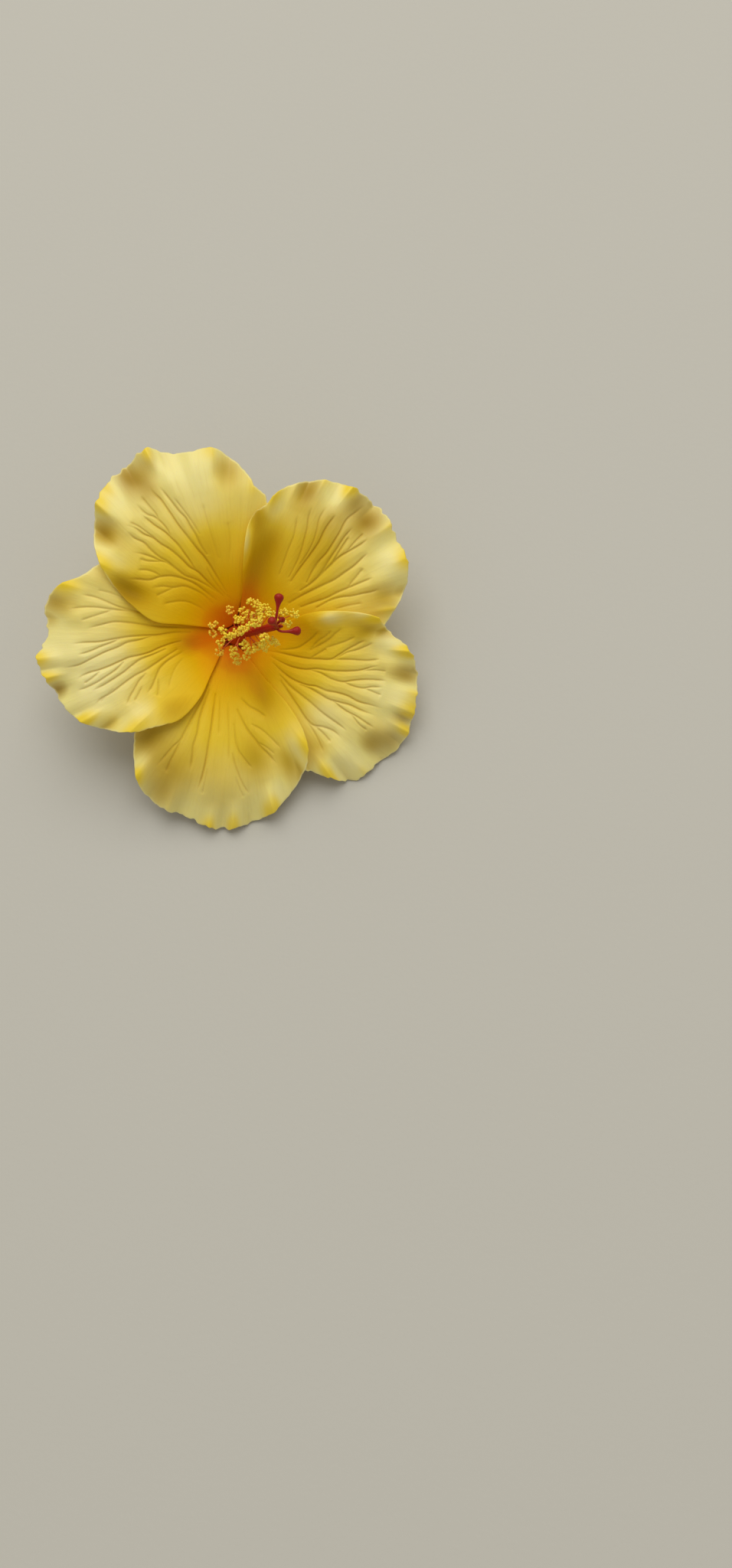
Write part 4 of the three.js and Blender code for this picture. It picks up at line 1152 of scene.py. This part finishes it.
class HIBISCUS_OT_petals(bpy.types.Operator):
    """Make the five petals."""

    bl_idname = "hibiscus.petals"
    bl_label = "Petals"

    def execute(self, context):
        settings = context.scene.hibiscus_petals
        material = petal_finish(settings)
        for name in PETALS:
            add_piece(f"{name}_sheet", [petal_body(name, settings)], material, name,
                      ("reach", "across", "groove", "crest", "pale", "deep"))
        return {"FINISHED"}


class HIBISCUS_OT_column(bpy.types.Operator):
    """Make the staminal column."""

    bl_idname = "hibiscus.column"
    bl_label = "Staminal Column"

    def execute(self, context):
        material = column_finish(context.scene.hibiscus_core)
        add_piece("column_tube", [column_body()], material, "staminal_column", ("share", "ridge"))
        return {"FINISHED"}


class HIBISCUS_OT_stamens(bpy.types.Operator):
    """Make the stamens, each with its filament and beads."""

    bl_idname = "hibiscus.stamens"
    bl_label = "Stamens"

    def execute(self, context):
        settings = context.scene.hibiscus_core
        material = stamen_finish(settings)
        for index in range(len(STAMENS)):
            add_piece(f"stamen_{index + 1}_thread", stamen_bodies(index, settings), material,
                      f"stamen_{index + 1}", ("pollen", "tone"))
        return {"FINISHED"}


class HIBISCUS_OT_styles(bpy.types.Operator):
    """Make the style branches and their stigmas."""

    bl_idname = "hibiscus.styles"
    bl_label = "Styles"

    def execute(self, context):
        material = style_finish(context.scene.hibiscus_core)
        for index in range(len(STYLES)):
            add_piece(f"style_{index + 1}_branch", [style_body(index)], material,
                      f"style_{index + 1}", ("share", "velvet"))
        return {"FINISHED"}


class HIBISCUS_OT_calyx(bpy.types.Operator):
    """Make the calyx, the bractlets and the stub of stalk."""

    bl_idname = "hibiscus.calyx"
    bl_label = "Calyx and Stalk"

    def execute(self, context):
        material = green_finish(context.scene.hibiscus_green)
        fields = ("share", "rib", "cut", "inside")
        add_piece("calyx_cup", [calyx_body()], material, "calyx", fields)
        for index in range(BRACTLET_COUNT):
            add_piece(f"bractlet_{index + 1}_leaf", [bractlet_body(index)], material,
                      f"bractlet_{index + 1}", fields)
        add_piece("stalk_stub", [stalk_body()], material, "stalk", fields)
        return {"FINISHED"}


class HIBISCUS_OT_stage(bpy.types.Operator):
    """Set up the floor, the lights and the camera."""

    bl_idname = "hibiscus.stage"
    bl_label = "Stage"

    def execute(self, context):
        settings = context.scene.hibiscus_stage
        scene = context.scene
        side = settings.floor_size / 2
        mesh = bpy.data.meshes.new("floor")
        mesh.from_pydata([(-side, -side, 0), (side, -side, 0), (side, side, 0), (-side, side, 0)], [],
                         [(0, 1, 2, 3)])
        mesh.materials.append(floor_finish(settings))
        floor = bpy.data.objects.new("floor", mesh)
        scene.collection.objects.link(floor)

        world = bpy.data.worlds.new("even_light")
        world.use_nodes = True
        shade = world.node_tree.nodes["Background"]
        shade.inputs["Color"].default_value = AMBIENT_COLOUR
        shade.inputs["Strength"].default_value = settings.ambient
        scene.world = world

        target = Vector(Flower.place(np.array([0, 0, KEY_AIM])))
        towards = (Flower.turn @ Vector(KEY_FROM)).normalized()
        lamp = bpy.data.lights.new("key", "AREA")
        lamp.energy = settings.key_power
        lamp.size = settings.key_size
        lamp.color = KEY_COLOUR
        key = bpy.data.objects.new("key", lamp)
        key.location = target + towards * KEY_DISTANCE
        key.rotation_euler = (-towards).to_track_quat("-Z", "Y").to_euler()
        scene.collection.objects.link(key)

        view = bpy.data.cameras.new("camera")
        view.lens = CAMERA_LENS
        camera = bpy.data.objects.new("camera", view)
        camera.location = Flower.place(np.array([0, 0, CAMERA_HEIGHT]))
        aim = Vector(CAMERA_AIM).rotation_difference(Vector((0, 0, -1)))
        camera.rotation_euler = (Flower.turn @ aim.to_matrix()).to_euler()
        scene.collection.objects.link(camera)
        scene.camera = camera
        scene.view_settings.view_transform = "Standard"
        return {"FINISHED"}


class HIBISCUS_PT_panel(bpy.types.Panel):
    """Lists the pieces and their settings."""

    bl_idname = "HIBISCUS_PT_panel"
    bl_label = "Hibiscus"
    bl_space_type = "VIEW_3D"
    bl_region_type = "UI"
    bl_category = "Hibiscus"

    def draw(self, context):
        for kind in OPERATORS:
            self.layout.operator(kind.bl_idname)
        for name in SETTINGS:
            group = getattr(context.scene, name)
            for key in group.__annotations__:
                self.layout.prop(group, key)


SETTINGS = {"hibiscus_petals": PetalSettings, "hibiscus_core": CoreSettings,
            "hibiscus_green": GreenSettings, "hibiscus_stage": StageSettings}
OPERATORS = (HIBISCUS_OT_petals, HIBISCUS_OT_column, HIBISCUS_OT_stamens, HIBISCUS_OT_styles,
             HIBISCUS_OT_calyx, HIBISCUS_OT_stage)


def register():
    for kind in (*SETTINGS.values(), *OPERATORS, HIBISCUS_PT_panel):
        bpy.utils.register_class(kind)
    for name, group in SETTINGS.items():
        setattr(bpy.types.Scene, name, PointerProperty(type=group))


def unregister():
    for name in SETTINGS:
        delattr(bpy.types.Scene, name)
    for kind in (HIBISCUS_PT_panel, *OPERATORS, *SETTINGS.values()):
        bpy.utils.unregister_class(kind)


def main():
    """Registers the classes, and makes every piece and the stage."""
    register()
    seat_flower()
    bpy.ops.hibiscus.petals()
    bpy.ops.hibiscus.column()
    bpy.ops.hibiscus.stamens()
    bpy.ops.hibiscus.styles()
    bpy.ops.hibiscus.calyx()
    bpy.ops.hibiscus.stage()


if __name__ == "__main__":
    main()
